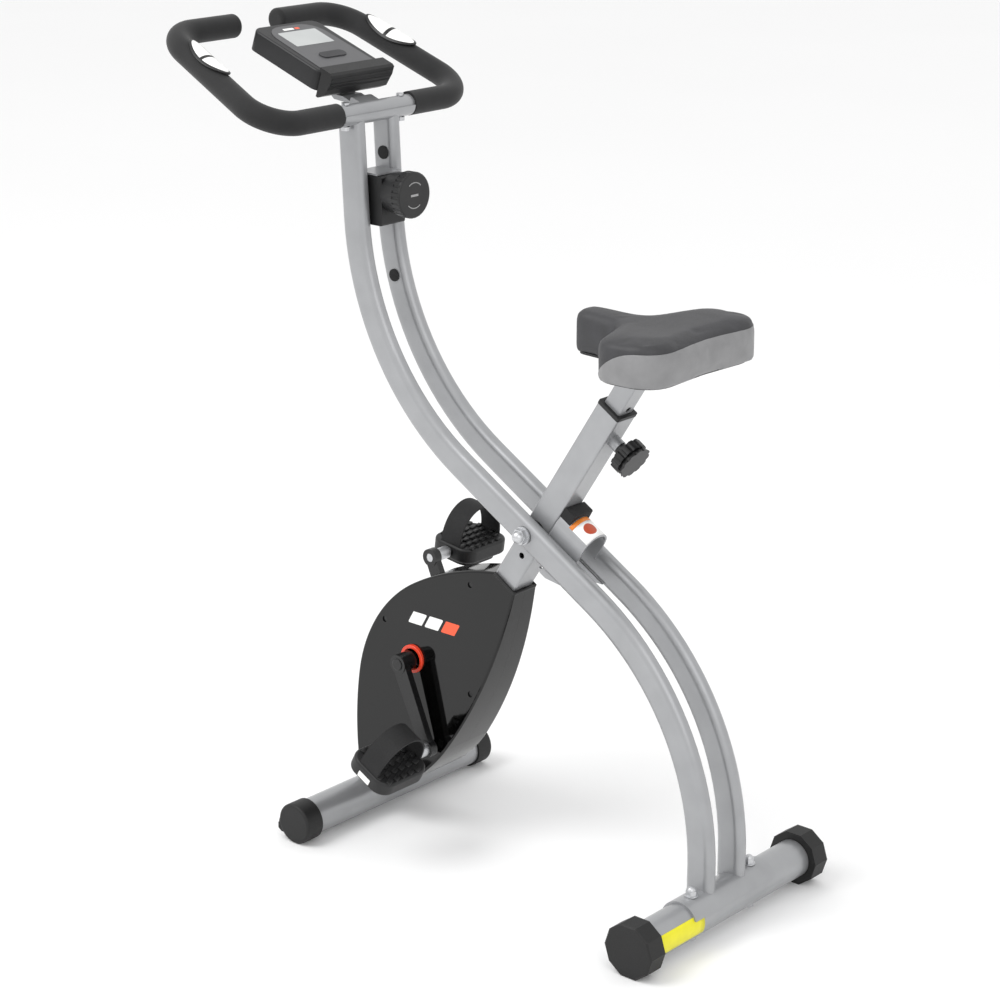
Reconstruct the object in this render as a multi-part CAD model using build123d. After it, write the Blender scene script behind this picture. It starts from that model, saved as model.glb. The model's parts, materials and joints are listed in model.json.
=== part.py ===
"""Folding exercise bike: a straight main tube from the front foot to the seat, crossed by a
curved twin mast that carries the handlebar and the rear foot and folds about one pivot bolt.

Millimetres. +X to the rear, +Y to the rider's right, +Z up, floor at Z = 0.
The bike is laid out with the pivot bolt at X = 0; save() moves it so that the origin is
under the middle of its box."""
import os
from math import atan2, cos, radians, sin, tan

from build123d import *

# ---- driving dimensions -------------------------------------------------------------------
PIVOT_Z = 475.8          # height of the fold bolt
PIVOT_R = 6.0            # fold bolt, 12 mm

TUBE_LEAN = 57.3         # main tube, degrees above the floor
TUBE_SIZE = 38.0         # square steel tube
TUBE_WALL = 1.5
TUBE_TOP = 217.0         # from the pivot up to the end of the tube

MAST_SLOPE = 31.0        # straight middle of the mast, degrees
MAST_GAP = 45.3          # between the two mast tubes
MAST_W = 20.0            # racetrack tube, across
MAST_D = 40.0            # racetrack tube, in the plane of its bends
MAST_WALL = 1.8
MAST_TOP_R = 380.0       # bend of the upper half, on the centre line
MAST_LOW_R = 369.7       # bend of the lower half
MAST_TOP_X = -290.4      # where the upper straight and the middle would meet
MAST_LEAN = 3.0          # upper straight leans forward
MAST_FOOT_X = 291.5      # lower end of the mast

FRONT_FOOT_X = -288.3
REAR_FOOT_X = 297.9
FOOT_R = 25.8            # stabiliser tubes
FOOT_WALL = 1.8
FOOT_HALF = 191.35       # half length over the end caps
CAP_LEN = 29.0           # end caps along the tube
CAP_GRIP = 22.0          # how much of a levelling cap the rear tube goes into
FRONT_CAP_END = 22.0     # solid end of a front cap, which holds the wheel
FRONT_CAP_R = 28.8
REAR_CAP_R = 35.65       # flats of the ten-sided levelling caps

BAR_X = -300.0           # handlebar, axis of its rear run
BAR_Z = 990.5
BAR_R = 12.7
BAR_WALL = 1.6
BAR_TILT = 23.3          # degrees that the bar's plane rises forward
BAR_REACH = 238.6        # rear run to the tips
BAR_REAR_Y = 192.0       # corners, before rounding
BAR_FRONT_Y = 161.0
BAR_TIP_Y = 37.0
BAR_BEND = 50.3
GRIP_R = 16.2
GRIP_START_Y = 67.5

COVER_W_TOP = 23.0       # half width at COVER_Z_TOP
COVER_Z_TOP = 385.0
COVER_FLARE = 0.0865     # growth of the half width per millimetre down
COVER_WALL = 2.5

CRANK_X = -206.0
CRANK_Z = 249.0
CRANK_LEN = 122.0
CRANK_ANGLE = 24.0       # left arm, degrees from straight down towards the rear
SPINDLE_R = 8.5
ARM_IN = 54.0            # inner face of the crank arms
ARM_T = 12.0
PULLEY_R = 60.0
HUB_PULLEY_R = 11.0
BELT_T = 3.0
BELT_IN = 20.2           # belt edge nearest the middle
BELT_W = 6.0

FLY_Z = 140.0            # flywheel axle, which crosses the main tube
FLY_R = 58.0
FLY_IN = 24.0
FLY_T = 10.0
AXLE_R = 5.0

PEDAL_MID_Y = 139.0
PEDAL_W = 92.0           # along the axle
PEDAL_L = 74.0
PEDAL_T = 22.0
PEDAL_AXLE_R = 6.0
LEFT_PITCH = 28.0        # left pedal, rear edge down
RIGHT_PITCH = 8.0

POST_SIZE = 28.0
POST_WALL = 1.5
POST_BOTTOM = 60.0       # from the pivot, along the tube
SEAT_Z = 730.0           # underside of the saddle
SEAT_T = 56.0
SEAT_PITCH = 25.0        # hole spacing of the seat post
PIN_AT = TUBE_TOP - 38.0  # seat pin, from the pivot along the tube
PIN_R = 4.0
SEAT_DOWN = 2            # holes below and above the modelled position
SEAT_UP = 4

LOCK_AT = 46.0           # lock pin holes, from the pivot
LOCK_R = 4.0
FOLD = 47.0              # degrees of fold
LOCK_TRAVEL = 9.0
LOCK_ANGLE = -73.4       # lock hole in use, degrees about the pivot

CONSOLE_X = -335.4       # lower edge of the console's face
CONSOLE_Z = 1042.2
CONSOLE_TILT = 19.9
CONSOLE_L = 137.0
CONSOLE_W = 118.0
CONSOLE_T = 28.0

KNOB_X = -226.5          # face of the tension knob
KNOB_Z = 885.5
KNOB_R = 31.0

RUN = 0.05               # radial clearance of a running fit
SLIDE = 0.3              # gap between sliding flats
SNUG = 0.02              # gap between seated pieces of one body
PLATE = 3.0              # welded sheet parts

os.makedirs("parts", exist_ok=True)

# ---- places worked out from them -----------------------------------------------------------
TUBE_Y = TUBE_SIZE / 2
MAST_Y = MAST_GAP / 2 + MAST_W / 2
MAST_OUT = MAST_GAP / 2 + MAST_W
x_min = BAR_X - BAR_REACH * cos(radians(BAR_TILT)) - GRIP_R
x_max = REAR_FOOT_X + REAR_CAP_R
SHIFT_X = -(x_min + x_max) / 2

tube_dir = (cos(radians(TUBE_LEAN)), 0, sin(radians(TUBE_LEAN)))
mast_dir = (cos(radians(MAST_SLOPE)), 0, -sin(radians(MAST_SLOPE)))
# local x runs up the tube or down the mast, local y is square to it in the bike's middle plane
TUBE = Plane(origin=(0, 0, PIVOT_Z), x_dir=tube_dir, z_dir=(0, -1, 0))
MAST = Plane(origin=(0, 0, PIVOT_Z), x_dir=mast_dir, z_dir=(0, -1, 0))
# local x runs forward and up, local y to the rider's left, local z off the face
BAR = Plane(origin=(BAR_X, 0, BAR_Z), x_dir=(-cos(radians(BAR_TILT)), 0, sin(radians(BAR_TILT))),
            z_dir=(sin(radians(BAR_TILT)), 0, cos(radians(BAR_TILT))))
CONSOLE = Plane(origin=(CONSOLE_X, 0, CONSOLE_Z),
                x_dir=(-cos(radians(CONSOLE_TILT)), 0, sin(radians(CONSOLE_TILT))),
                z_dir=(sin(radians(CONSOLE_TILT)), 0, cos(radians(CONSOLE_TILT))))


def on_tube(along, off=0.0):
    """x, z of a point in the bike's middle plane, given along and square to the main tube."""
    c, s = cos(radians(TUBE_LEAN)), sin(radians(TUBE_LEAN))
    return along * c - off * s, PIVOT_Z + along * s + off * c


FLY_ALONG = (FLY_Z - PIVOT_Z) / sin(radians(TUBE_LEAN))
FLY_X = on_tube(FLY_ALONG)[0]
SEAT_ALONG = (SEAT_Z - PIVOT_Z) / sin(radians(TUBE_LEAN))
LOCK_X = LOCK_AT * cos(radians(LOCK_ANGLE))
LOCK_Z = PIVOT_Z + LOCK_AT * sin(radians(LOCK_ANGLE))


def cover_half(z):
    return COVER_W_TOP + (COVER_Z_TOP - z) * COVER_FLARE


def rod(x, z, y0, y1, r):
    """A round bar across the bike, from y0 to y1."""
    return Pos(x, (y0 + y1) / 2, z) * (Rot(90, 0, 0) * Cylinder(r, abs(y1 - y0)))


def ring(x, z, y0, y1, r_in, r_out):
    return rod(x, z, y0, y1, r_out) - rod(x, z, y0 - 1, y1 + 1, r_in)


def side_plate(face, y0, y1):
    """A face drawn in x and z, made solid from y0 to y1."""
    return extrude(Plane.XZ.offset(-y0) * face, amount=y1 - y0, dir=(0, 1, 0))


def outline(points):
    return make_face(Polyline(*points, close=True))


def mirrored(solid):
    return mirror(solid, about=Plane.XZ)


def stand(x, y, z0, z1, r):
    """An upright round bar."""
    return Pos(x, y, (z0 + z1) / 2) * Cylinder(r, z1 - z0)


def hex_stand(x, y, z0, z1, flat):
    return Pos(x, y, z0) * extrude(RegularPolygon(flat / 2, 6, major_radius=False), z1 - z0)


def save(name, *solids):
    """Write one node, moved so that the origin is under the middle of the bike."""
    moved = [s.moved(Location((SHIFT_X, 0, 0))) for s in solids]
    pieces = [p for m in moved for p in m.solids()]
    shape = pieces[0] if len(pieces) == 1 else Compound(children=pieces)
    shape.label = name
    export_step(shape, f"parts/{name}.step")


# ---- main tube and front foot --------------------------------------------------------------
foot_along = -((PIVOT_Z - FRONT_CAP_R) / sin(radians(TUBE_LEAN)))
tube_inner = TUBE_SIZE - 2 * TUBE_WALL
crank_off = -CRANK_X * sin(radians(TUBE_LEAN)) + (CRANK_Z - PIVOT_Z) * cos(radians(TUBE_LEAN))
crank_along = CRANK_X * cos(radians(TUBE_LEAN)) + (CRANK_Z - PIVOT_Z) * sin(radians(TUBE_LEAN))
SHELL_R = 18.5
BEARING_R = 15.5
BEARING_W = 9.0
HOUSING_R = 14.0
FLY_BEARING_R = 11.0
FLY_BEARING_W = 7.0
BOSS_R = 9.0
BOSS_H = 13.0

tube_mid = (TUBE_TOP + foot_along) / 2
main = TUBE * Pos(tube_mid, 0, 0) * Box(TUBE_TOP - foot_along, TUBE_SIZE, TUBE_SIZE)
main = fillet(main.edges().filter_by(Axis((0, 0, 0), tube_dir)), 3.0)
shell = rod(CRANK_X, CRANK_Z, -TUBE_Y, TUBE_Y, SHELL_R)
web = TUBE * Pos(crank_along, crank_off / 2, 0) * Box(26, abs(crank_off), 30)
main = main + shell + web
bore_len = TUBE_TOP - foot_along + 60
bore = TUBE * Pos((TUBE_TOP + foot_along) / 2, 0, 0) * Box(bore_len, tube_inner, tube_inner)
main -= bore
housing = rod(FLY_X, FLY_Z, -TUBE_Y, TUBE_Y, HOUSING_R)
sleeve = rod(0, PIVOT_Z, -TUBE_Y, TUBE_Y, PIVOT_R + 3)
boss = TUBE * Pos(PIN_AT, -(TUBE_Y + BOSS_H / 2 - 1), 0) * (Rot(90, 0, 0) * Cylinder(BOSS_R, BOSS_H + 2))
boss -= bore
brake_x, brake_z = FLY_X - 50.6, FLY_Z + 42.4
tab_root = on_tube(FLY_ALONG + 52, 12)
tab = side_plate(outline([(tab_root[0] + 16, tab_root[1] + 12), (brake_x - 7, brake_z + 7),
                          (brake_x - 7, brake_z - 6), (tab_root[0] - 4, tab_root[1] - 22)]),
                 -TUBE_Y - PLATE, -TUBE_Y)
lug = side_plate(outline([(LOCK_X - 34, LOCK_Z - 13), (LOCK_X - 2, LOCK_Z - 12), (LOCK_X + 11, LOCK_Z - 2),
                          (LOCK_X + 11, LOCK_Z + 8), (LOCK_X - 2, LOCK_Z + 12), (LOCK_X - 30, LOCK_Z + 14)]),
                 TUBE_Y - PLATE, TUBE_Y)
lug -= bore
main = main + housing + sleeve + boss + tab + lug
main -= rod(CRANK_X, CRANK_Z, -40, 40, SPINDLE_R + 2)
for side in (-1, 1):
    main -= rod(CRANK_X, CRANK_Z, side * (TUBE_Y - BEARING_W), side * (TUBE_Y + 1), BEARING_R + SNUG)
    main -= rod(FLY_X, FLY_Z, side * (TUBE_Y - FLY_BEARING_W), side * (TUBE_Y + 1), FLY_BEARING_R + SNUG)
main -= rod(FLY_X, FLY_Z, -40, 40, AXLE_R + 2)
main -= rod(0, PIVOT_Z, -40, 40, PIVOT_R + SNUG)
main -= rod(LOCK_X, LOCK_Z, 0, 40, LOCK_R + SLIDE)
fold_hole = radians(LOCK_ANGLE - FOLD)
fold_hole_x, fold_hole_z = LOCK_AT * cos(fold_hole), PIVOT_Z + LOCK_AT * sin(fold_hole)
main -= rod(fold_hole_x, fold_hole_z, -40, 40, LOCK_R + SLIDE)
main -= TUBE * Pos(PIN_AT, -TUBE_Y, 0) * (Rot(90, 0, 0) * Cylinder(PIN_R + SLIDE, 60))
main += rod(brake_x, brake_z, -FLY_IN - FLY_T - 1, -TUBE_Y, 3)
main -= rod(FRONT_FOOT_X, FRONT_CAP_R, -60, 60, FOOT_R + SNUG)
save("main_tube", main)

front_tube_half = FOOT_HALF - FRONT_CAP_END
front_foot = ring(FRONT_FOOT_X, FRONT_CAP_R, -front_tube_half, front_tube_half, FOOT_R - FOOT_WALL, FOOT_R)
save("front_stabilizer", front_foot)

WHEEL_R = 14.0
WHEEL_W = 12.0
WHEEL_PIN_R = 2.5
wheel_x, wheel_z = FRONT_FOOT_X - 22, FRONT_CAP_R - 9
wheel_y = FOOT_HALF - 12


def front_cap():
    cap = rod(FRONT_FOOT_X, FRONT_CAP_R, FOOT_HALF - CAP_LEN, FOOT_HALF, FRONT_CAP_R)
    cap = fillet(cap.edges().filter_by(GeomType.CIRCLE).sort_by(Axis.Y)[-1], 4)
    ears = side_plate(make_face(Polyline((FRONT_FOOT_X, wheel_z + 9), (wheel_x, wheel_z + 9),
                                         (wheel_x - 9, wheel_z + 3), (wheel_x - 9, wheel_z - 5),
                                         (wheel_x - 3, wheel_z - 9), (FRONT_FOOT_X, wheel_z - 9), close=True)),
                      wheel_y - 11, wheel_y + 11)
    cap += ears
    cap -= rod(FRONT_FOOT_X, FRONT_CAP_R, 0, front_tube_half + SNUG, FOOT_R + SNUG)
    slot_half = WHEEL_W / 2 + SLIDE
    cap -= rod(wheel_x, wheel_z, wheel_y - slot_half, wheel_y + slot_half, WHEEL_R + 1.5)
    cap += rod(wheel_x, wheel_z, wheel_y - 9, wheel_y + 9, WHEEL_PIN_R)
    return cap


cap = front_cap()
save("front_end_caps", cap, mirrored(cap))
wheel = ring(wheel_x, wheel_z, wheel_y - WHEEL_W / 2, wheel_y + WHEEL_W / 2, WHEEL_PIN_R + RUN, WHEEL_R)
wheel = chamfer(wheel.edges().filter_by(GeomType.CIRCLE).group_by(SortBy.RADIUS)[-1], 1.5)
save("transport_wheel_right", wheel)
save("transport_wheel_left", mirrored(wheel))

# ---- bearings, belt and pivot bolt -----------------------------------------------------------
bearings = []
for side in (-1, 1):
    y0, y1 = sorted((side * (TUBE_Y - BEARING_W + SNUG), side * TUBE_Y))
    bearings.append(ring(CRANK_X, CRANK_Z, y0, y1, SPINDLE_R + RUN, BEARING_R))
save("crank_bearings", *bearings)
bearings = []
for side in (-1, 1):
    y0, y1 = sorted((side * (TUBE_Y - FLY_BEARING_W + SNUG), side * TUBE_Y))
    bearings.append(ring(FLY_X, FLY_Z, y0, y1, AXLE_R + RUN, FLY_BEARING_R))
save("flywheel_bearings", *bearings)


def belt_loop(grow):
    """Outline of the belt's run over both pulleys."""
    r1, r2 = PULLEY_R + grow, HUB_PULLEY_R + grow
    dx, dz = FLY_X - CRANK_X, FLY_Z - CRANK_Z
    span = (dx * dx + dz * dz) ** 0.5
    base = atan2(dz, dx)
    swing = (r1 - r2) / span
    from_side = (1 - swing * swing) ** 0.5
    pts = []
    for sign in (1, -1):
        nx = cos(base) * swing - sign * sin(base) * from_side
        nz = sin(base) * swing + sign * cos(base) * from_side
        pts.append(((CRANK_X + r1 * nx, CRANK_Z + r1 * nz), (FLY_X + r2 * nx, FLY_Z + r2 * nz)))
    back1 = (CRANK_X - r1 * cos(base), CRANK_Z - r1 * sin(base))
    back2 = (FLY_X + r2 * cos(base), FLY_Z + r2 * sin(base))
    (a1, a2), (b1, b2) = pts
    return make_face([Line(a1, a2), ThreePointArc(a2, back2, b2), Line(b2, b1),
                      ThreePointArc(b1, back1, a1)])


belt = side_plate(belt_loop(BELT_T), BELT_IN, BELT_IN + BELT_W)
belt -= side_plate(belt_loop(RUN + 0.05), BELT_IN - 1, BELT_IN + BELT_W + 1)
save("drive_belt", belt)

sensor_x, sensor_z = on_tube(crank_along + 68, 0)
sensor = Pos(sensor_x, TUBE_Y + 4 + SNUG, sensor_z) * Box(16, 8, 12)
save("speed_sensor", sensor)

NUT_Y = MAST_OUT + 1.5
bolt = rod(0, PIVOT_Z, -(NUT_Y + 7), NUT_Y + 7, PIVOT_R)
save("pivot_bolt", bolt)


def cap_nut():
    nut = rod(0, PIVOT_Z, NUT_Y, NUT_Y + 2, 12)
    nut += side_plate(Pos(0, PIVOT_Z) * RegularPolygon(9.5, 6, major_radius=False), NUT_Y + 2, NUT_Y + 9)
    nut += Pos(0, NUT_Y + 9, PIVOT_Z) * Sphere(8.5) - Pos(0, NUT_Y - 91, PIVOT_Z) * Box(200, 200, 200)
    return nut - rod(0, PIVOT_Z, 0, NUT_Y + 7 + SNUG, PIVOT_R + SNUG)


nut = cap_nut()
save("pivot_cap_nuts", nut, mirrored(nut))
spacer = ring(0, PIVOT_Z, TUBE_Y + SLIDE, MAST_GAP / 2 - SLIDE, PIVOT_R + SNUG, 15)
save("pivot_spacers", spacer, mirrored(spacer))

# ---- drive cover ------------------------------------------------------------------------------
COVER_TIP = (-68, 403)
FRONT_BOW = ((-214, 354), (-279, 291), (-307, 208))
COVER_CHIN = (-301, 82)
COVER_TOE = (-296, 50)
COVER_HEEL = (-228, 55)
REAR_BOW = ((-139, 133), (-83, 230), (-43, 340))
COVER_NAPE = (-33, 381)
BOSSES = [(-110, 376), (-262, 292), (-290, 74), (-99, 225)]


def cover_body(inset):
    """Tapered body of the cover, drawn in by inset on every side."""
    front_mid = ThreePointArc(*FRONT_BOW)
    rear_mid = ThreePointArc(*REAR_BOW)
    edge = make_face([TangentArc(FRONT_BOW[0], COVER_TIP, tangent=-(front_mid % 0)), front_mid,
                      TangentArc(FRONT_BOW[2], COVER_CHIN, tangent=front_mid % 1),
                      Line(COVER_CHIN, COVER_TOE), Line(COVER_TOE, COVER_HEEL),
                      TangentArc(REAR_BOW[0], COVER_HEEL, tangent=-(rear_mid % 0)), rear_mid,
                      TangentArc(REAR_BOW[2], COVER_NAPE, tangent=rear_mid % 1),
                      Line(COVER_NAPE, COVER_TIP)])
    if inset:
        edge = offset(edge, -inset)
    blank = side_plate(edge, -60, 60)
    low, high = 20, 430
    wedge = extrude(Plane.YZ.offset(-400) * outline([
        (-cover_half(low) + inset, low), (cover_half(low) - inset, low),
        (cover_half(high) - inset, high), (-cover_half(high) + inset, high)]), amount=500, dir=(1, 0, 0))
    return blank & wedge


shell_out = cover_body(0)
rims = [e for e in shell_out.edges() if abs(abs(e.center().Y) - cover_half(e.center().Z)) < 1.0
        and e.length > 60]
shell_out = fillet(rims, 3.0)
cover = shell_out - cover_body(COVER_WALL)
for bx, bz in BOSSES:
    cover += rod(bx, bz, -60, 60, 5) & shell_out
cover -= TUBE * Pos(tube_mid, 0, 0) * Box(TUBE_TOP - foot_along + 80, TUBE_SIZE + 0.6, TUBE_SIZE + 0.6)
cover -= rod(FRONT_FOOT_X, FRONT_CAP_R, -80, 80, FOOT_R + 0.3)
HUB_R = 20.0
cover -= rod(CRANK_X, CRANK_Z, -80, 80, HUB_R + SNUG)
for bx, bz in BOSSES:
    head = cover_half(bz) - 4
    cover -= rod(bx, bz, -head, head, 2.2)
    cover -= rod(bx, bz, -80, -head, 4.2)
seam = 0.05
half_space = Pos(-200, 150 + seam, 200) * Box(900, 300, 900)
save("cover_right", cover & half_space)
save("cover_left", cover & mirrored(half_space))
screws = []
for bx, bz in BOSSES:
    head = cover_half(bz) - 4
    screws.append(rod(bx, bz, -head - 2.4, -head - SNUG, 3.9) + rod(bx, bz, -head - 1, head - 4, 2.0))
save("cover_screws", *screws)
hub_y = cover_half(CRANK_Z)
hub = ring(CRANK_X, CRANK_Z, hub_y - 4, hub_y + 3.5, HUB_R - 5, HUB_R)
hub = fillet(hub.edges().filter_by(GeomType.CIRCLE).sort_by(Axis.Y)[-2:], 1.0)
save("hub_rings", hub, mirrored(hub))

# ---- crank ------------------------------------------------------------------------------------
arm_out = ARM_IN + ARM_T
spindle = rod(CRANK_X, CRANK_Z, -arm_out - 1.5, arm_out + 1.5, SPINDLE_R)
spindle = fillet(spindle.edges().filter_by(GeomType.CIRCLE), 1.2)
save("crank_spindle", spindle)

pulley = rod(CRANK_X, CRANK_Z, BELT_IN, BELT_IN + BELT_W, PULLEY_R)
pulley -= ring(CRANK_X, CRANK_Z, BELT_IN + 2.5, BELT_IN + BELT_W + 1, 15, PULLEY_R - 5)
pulley -= rod(CRANK_X, CRANK_Z, 0, 60, SPINDLE_R + SNUG)
for k in range(6):
    turn = radians(60 * k)
    pulley -= rod(CRANK_X + 35 * cos(turn), CRANK_Z + 35 * sin(turn), 0, 60, 12)
save("drive_pulley", pulley)


def crank_arm(side):
    """Arm on the left (-1) or the right (+1), which points the other way."""
    turn = radians(CRANK_ANGLE)
    end_x = CRANK_X - side * CRANK_LEN * sin(turn)
    end_z = CRANK_Z + side * CRANK_LEN * cos(turn)
    y0, y1 = sorted((side * ARM_IN, side * arm_out))
    ux, uz = (end_x - CRANK_X) / CRANK_LEN, (end_z - CRANK_Z) / CRANK_LEN
    wide, slim = 12.0, 9.5
    blade = outline([(CRANK_X - wide * uz, CRANK_Z + wide * ux), (end_x - slim * uz, end_z + slim * ux),
                     (end_x + slim * uz, end_z - slim * ux), (CRANK_X + wide * uz, CRANK_Z - wide * ux)])
    arm = side_plate(blade, y0 + 1.0, y1 - 1.0)
    b0, b1 = sorted((side * (ARM_IN - 12), side * arm_out))
    arm += rod(CRANK_X, CRANK_Z, b0, b1, 13.5)
    arm += rod(end_x, end_z, y0, y1, 12.5)
    arm -= rod(CRANK_X, CRANK_Z, -80, 80, SPINDLE_R + SNUG)
    arm -= rod(end_x, end_z, -80, 80, PEDAL_AXLE_R + SNUG)
    return arm, end_x, end_z


left_arm, left_x, left_z = crank_arm(-1)
right_arm, right_x, right_z = crank_arm(1)
save("crank_arms", left_arm, right_arm)
PEDAL_OUT = PEDAL_MID_Y + PEDAL_W / 2


def pedal_axle(x, z, side):
    a = rod(x, z, side * (ARM_IN + 0.5), side * (PEDAL_OUT - 10), PEDAL_AXLE_R)
    return a + rod(x, z, side * (arm_out + SNUG), side * (PEDAL_OUT - PEDAL_W - 4), 9)


save("pedal_axles", pedal_axle(left_x, left_z, -1), pedal_axle(right_x, right_z, 1))

STRAP_W = 34.0
STRAP_T = 2.6
STRAP_RISE = 52.0
STRAP_SUNK = 3.8         # how deep the strap's ends go into the platform
STRAP_HALF = 43.5


def pedal_pair(x, z, side, pitch):
    """Platform and toe strap of one pedal, turned about its axle by pitch."""
    mid = side * PEDAL_MID_Y
    top = RectangleRounded(PEDAL_L, PEDAL_W, 21)
    body = Pos(0, 0, -PEDAL_T / 2) * extrude(top, PEDAL_T)
    body = fillet(body.edges().filter_by(Plane.XY), 4)
    body += Pos(0, side * (PEDAL_W / 2 - 3), 0) * (Rot(90, 0, 0) * Cylinder(PEDAL_AXLE_R + 2, 6))
    slot_y = STRAP_HALF - STRAP_T / 2
    top_z = PEDAL_T / 2
    for s in (-1, 1):
        body -= Pos(0, s * slot_y, top_z) * Box(STRAP_W + 1, STRAP_T + 0.6, 2 * STRAP_SUNK + 0.4)
    body -= Pos(0, -side * 8, 0) * (Rot(90, 0, 0) * Cylinder(PEDAL_AXLE_R + RUN, PEDAL_W + 4))
    arch = Ellipse(STRAP_HALF, STRAP_RISE) - Ellipse(STRAP_HALF - STRAP_T, STRAP_RISE - STRAP_T)
    arch &= Pos(0, 100) * Rectangle(200, 200)
    section = Pos(0, top_z) * arch
    for s in (-1, 1):
        section += Pos(s * slot_y, top_z - STRAP_SUNK / 2) * Rectangle(STRAP_T, STRAP_SUNK + 0.2)
    strap = extrude(Plane.YZ.offset(-STRAP_W / 2) * section, amount=STRAP_W, dir=(1, 0, 0))
    place = Pos(x, mid, z) * Rot(0, pitch, 0)
    return place * body, place * strap


left_body, left_strap = pedal_pair(left_x, left_z, -1, LEFT_PITCH)
right_body, right_strap = pedal_pair(right_x, right_z, 1, RIGHT_PITCH)
save("pedal_left", left_body)
save("pedal_right", right_body)
save("pedal_strap_left", left_strap)
save("pedal_strap_right", right_strap)

# ---- flywheel and brake -------------------------------------------------------------------------
fly_out = FLY_IN + FLY_T
disc = rod(FLY_X, FLY_Z, -fly_out, -FLY_IN, FLY_R)
disc -= ring(FLY_X, FLY_Z, -fly_out - 1, -fly_out + 3, 16, FLY_R - 14)
disc -= ring(FLY_X, FLY_Z, -FLY_IN - 3, -FLY_IN + 1, 16, FLY_R - 14)
disc -= rod(FLY_X, FLY_Z, -60, 60, AXLE_R + SNUG)
save("flywheel_disc", disc)
axle = rod(FLY_X, FLY_Z, -fly_out - 2, BELT_IN + BELT_W + 3, AXLE_R)
axle += rod(FLY_X, FLY_Z, BELT_IN, BELT_IN + BELT_W, HUB_PULLEY_R)
save("flywheel_axle", axle)

MAGNET_T = 3.0
MAGNET_GAP = 2.0
magnet_r = FLY_R + MAGNET_GAP
shoe_r = magnet_r + MAGNET_T
SHOE_T = 5.0


def arc_band(r0, r1, a0, a1, y0, y1):
    """Part of a ring about the flywheel axle, between two angles."""
    far = 200
    lo, hi = radians(a0), radians(a1)
    mid = radians((a0 + a1) / 2)
    wedge = outline([(FLY_X, FLY_Z), (FLY_X + far * cos(lo), FLY_Z + far * sin(lo)),
                     (FLY_X + far * 1.3 * cos(mid), FLY_Z + far * 1.3 * sin(mid)),
                     (FLY_X + far * cos(hi), FLY_Z + far * sin(hi))])
    return ring(FLY_X, FLY_Z, y0, y1, r0, r1) & side_plate(wedge, y0 - 1, y1 + 1)


shoe = arc_band(shoe_r, shoe_r + SHOE_T, 138, 212, -fly_out, -FLY_IN)
shoe += rod(brake_x, brake_z, -fly_out, -FLY_IN, 5)
shoe -= rod(brake_x, brake_z, -60, 0, 3 + RUN)
save("brake_shoe", shoe)
magnets = [arc_band(magnet_r, shoe_r - SNUG, a, a + 14, -fly_out + 1, -FLY_IN - 1) for a in (158, 176, 194)]
save("brake_magnets", *magnets)

# ---- seat ---------------------------------------------------------------------------------------
BUSH_LEN = 60.0
bush_in = POST_SIZE + 2 * SLIDE
bush_out = tube_inner - 2 * SNUG
bush = TUBE * Pos(TUBE_TOP + 1 - BUSH_LEN / 2, 0, 0) * Box(BUSH_LEN, bush_out, bush_out)
flange = TUBE * Pos(TUBE_TOP + 2.5 + SNUG, 0, 0) * Box(5, TUBE_SIZE + 1, TUBE_SIZE + 1)
flange = fillet(flange.edges().filter_by(Axis((0, 0, 0), tube_dir)), 3.0)
bush = bush + flange - TUBE * Pos(TUBE_TOP, 0, 0) * Box(200, bush_in, bush_in)
bush -= TUBE * Pos(PIN_AT, -TUBE_Y, 0) * (Rot(90, 0, 0) * Cylinder(PIN_R + SLIDE, 60))
save("seat_bush", bush)

post_len = SEAT_ALONG - POST_BOTTOM
post = TUBE * Pos(POST_BOTTOM + post_len / 2, 0, 0) * Box(post_len, POST_SIZE, POST_SIZE)
post = fillet(post.edges().filter_by(Axis((0, 0, 0), tube_dir)), 2.5)
post -= TUBE * Pos(POST_BOTTOM + post_len / 2, 0, 0) * Box(post_len + 60, POST_SIZE - 2 * POST_WALL,
                                                           POST_SIZE - 2 * POST_WALL)
for k in range(-SEAT_UP, SEAT_DOWN + 1):
    hole = Rot(90, 0, 0) * Cylinder(PIN_R + 0.4, 8)
    post -= TUBE * Pos(PIN_AT + k * SEAT_PITCH, -POST_SIZE / 2, 0) * hole
post &= Pos(0, 0, SEAT_Z - 503) * Box(2000, 200, 1000)
save("seat_post", post)

# corners of the saddle's right half before rounding, from the nose round to the tail, each with its radius
SADDLE_CORNERS = [(57, 21, 18), (138, 28, 30), (172, 118, 34), (264, 114, 38)]
SADDLE_TAIL = (257, 100)  # middle of the shallow hollow in the tail, and its radius
SEAT_MID_X = 160.0


def saddle_face(inset):
    """Plan of the saddle, nose forward, drawn in by about inset all round."""
    long_scale = 1 - inset / (SADDLE_CORNERS[-1][0] - SEAT_MID_X)
    wide_scale = 1 - inset / SADDLE_CORNERS[2][1]
    scaled = [(SEAT_MID_X + (x - SEAT_MID_X) * long_scale, y * wide_scale, r) for x, y, r in SADDLE_CORNERS]
    tail = (SEAT_MID_X + (SADDLE_TAIL[0] - SEAT_MID_X) * long_scale, 0, SADDLE_TAIL[1])
    corners = scaled + [tail] + [(x, -y, r) for x, y, r in reversed(scaled)]
    face = make_face(Polyline(*[(x, y) for x, y, r in corners], close=True))
    for x, y, r in corners:
        nearest = face.vertices().sort_by_distance((x, y, 0))[0]
        face = fillet(nearest, r)
    return face


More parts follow.
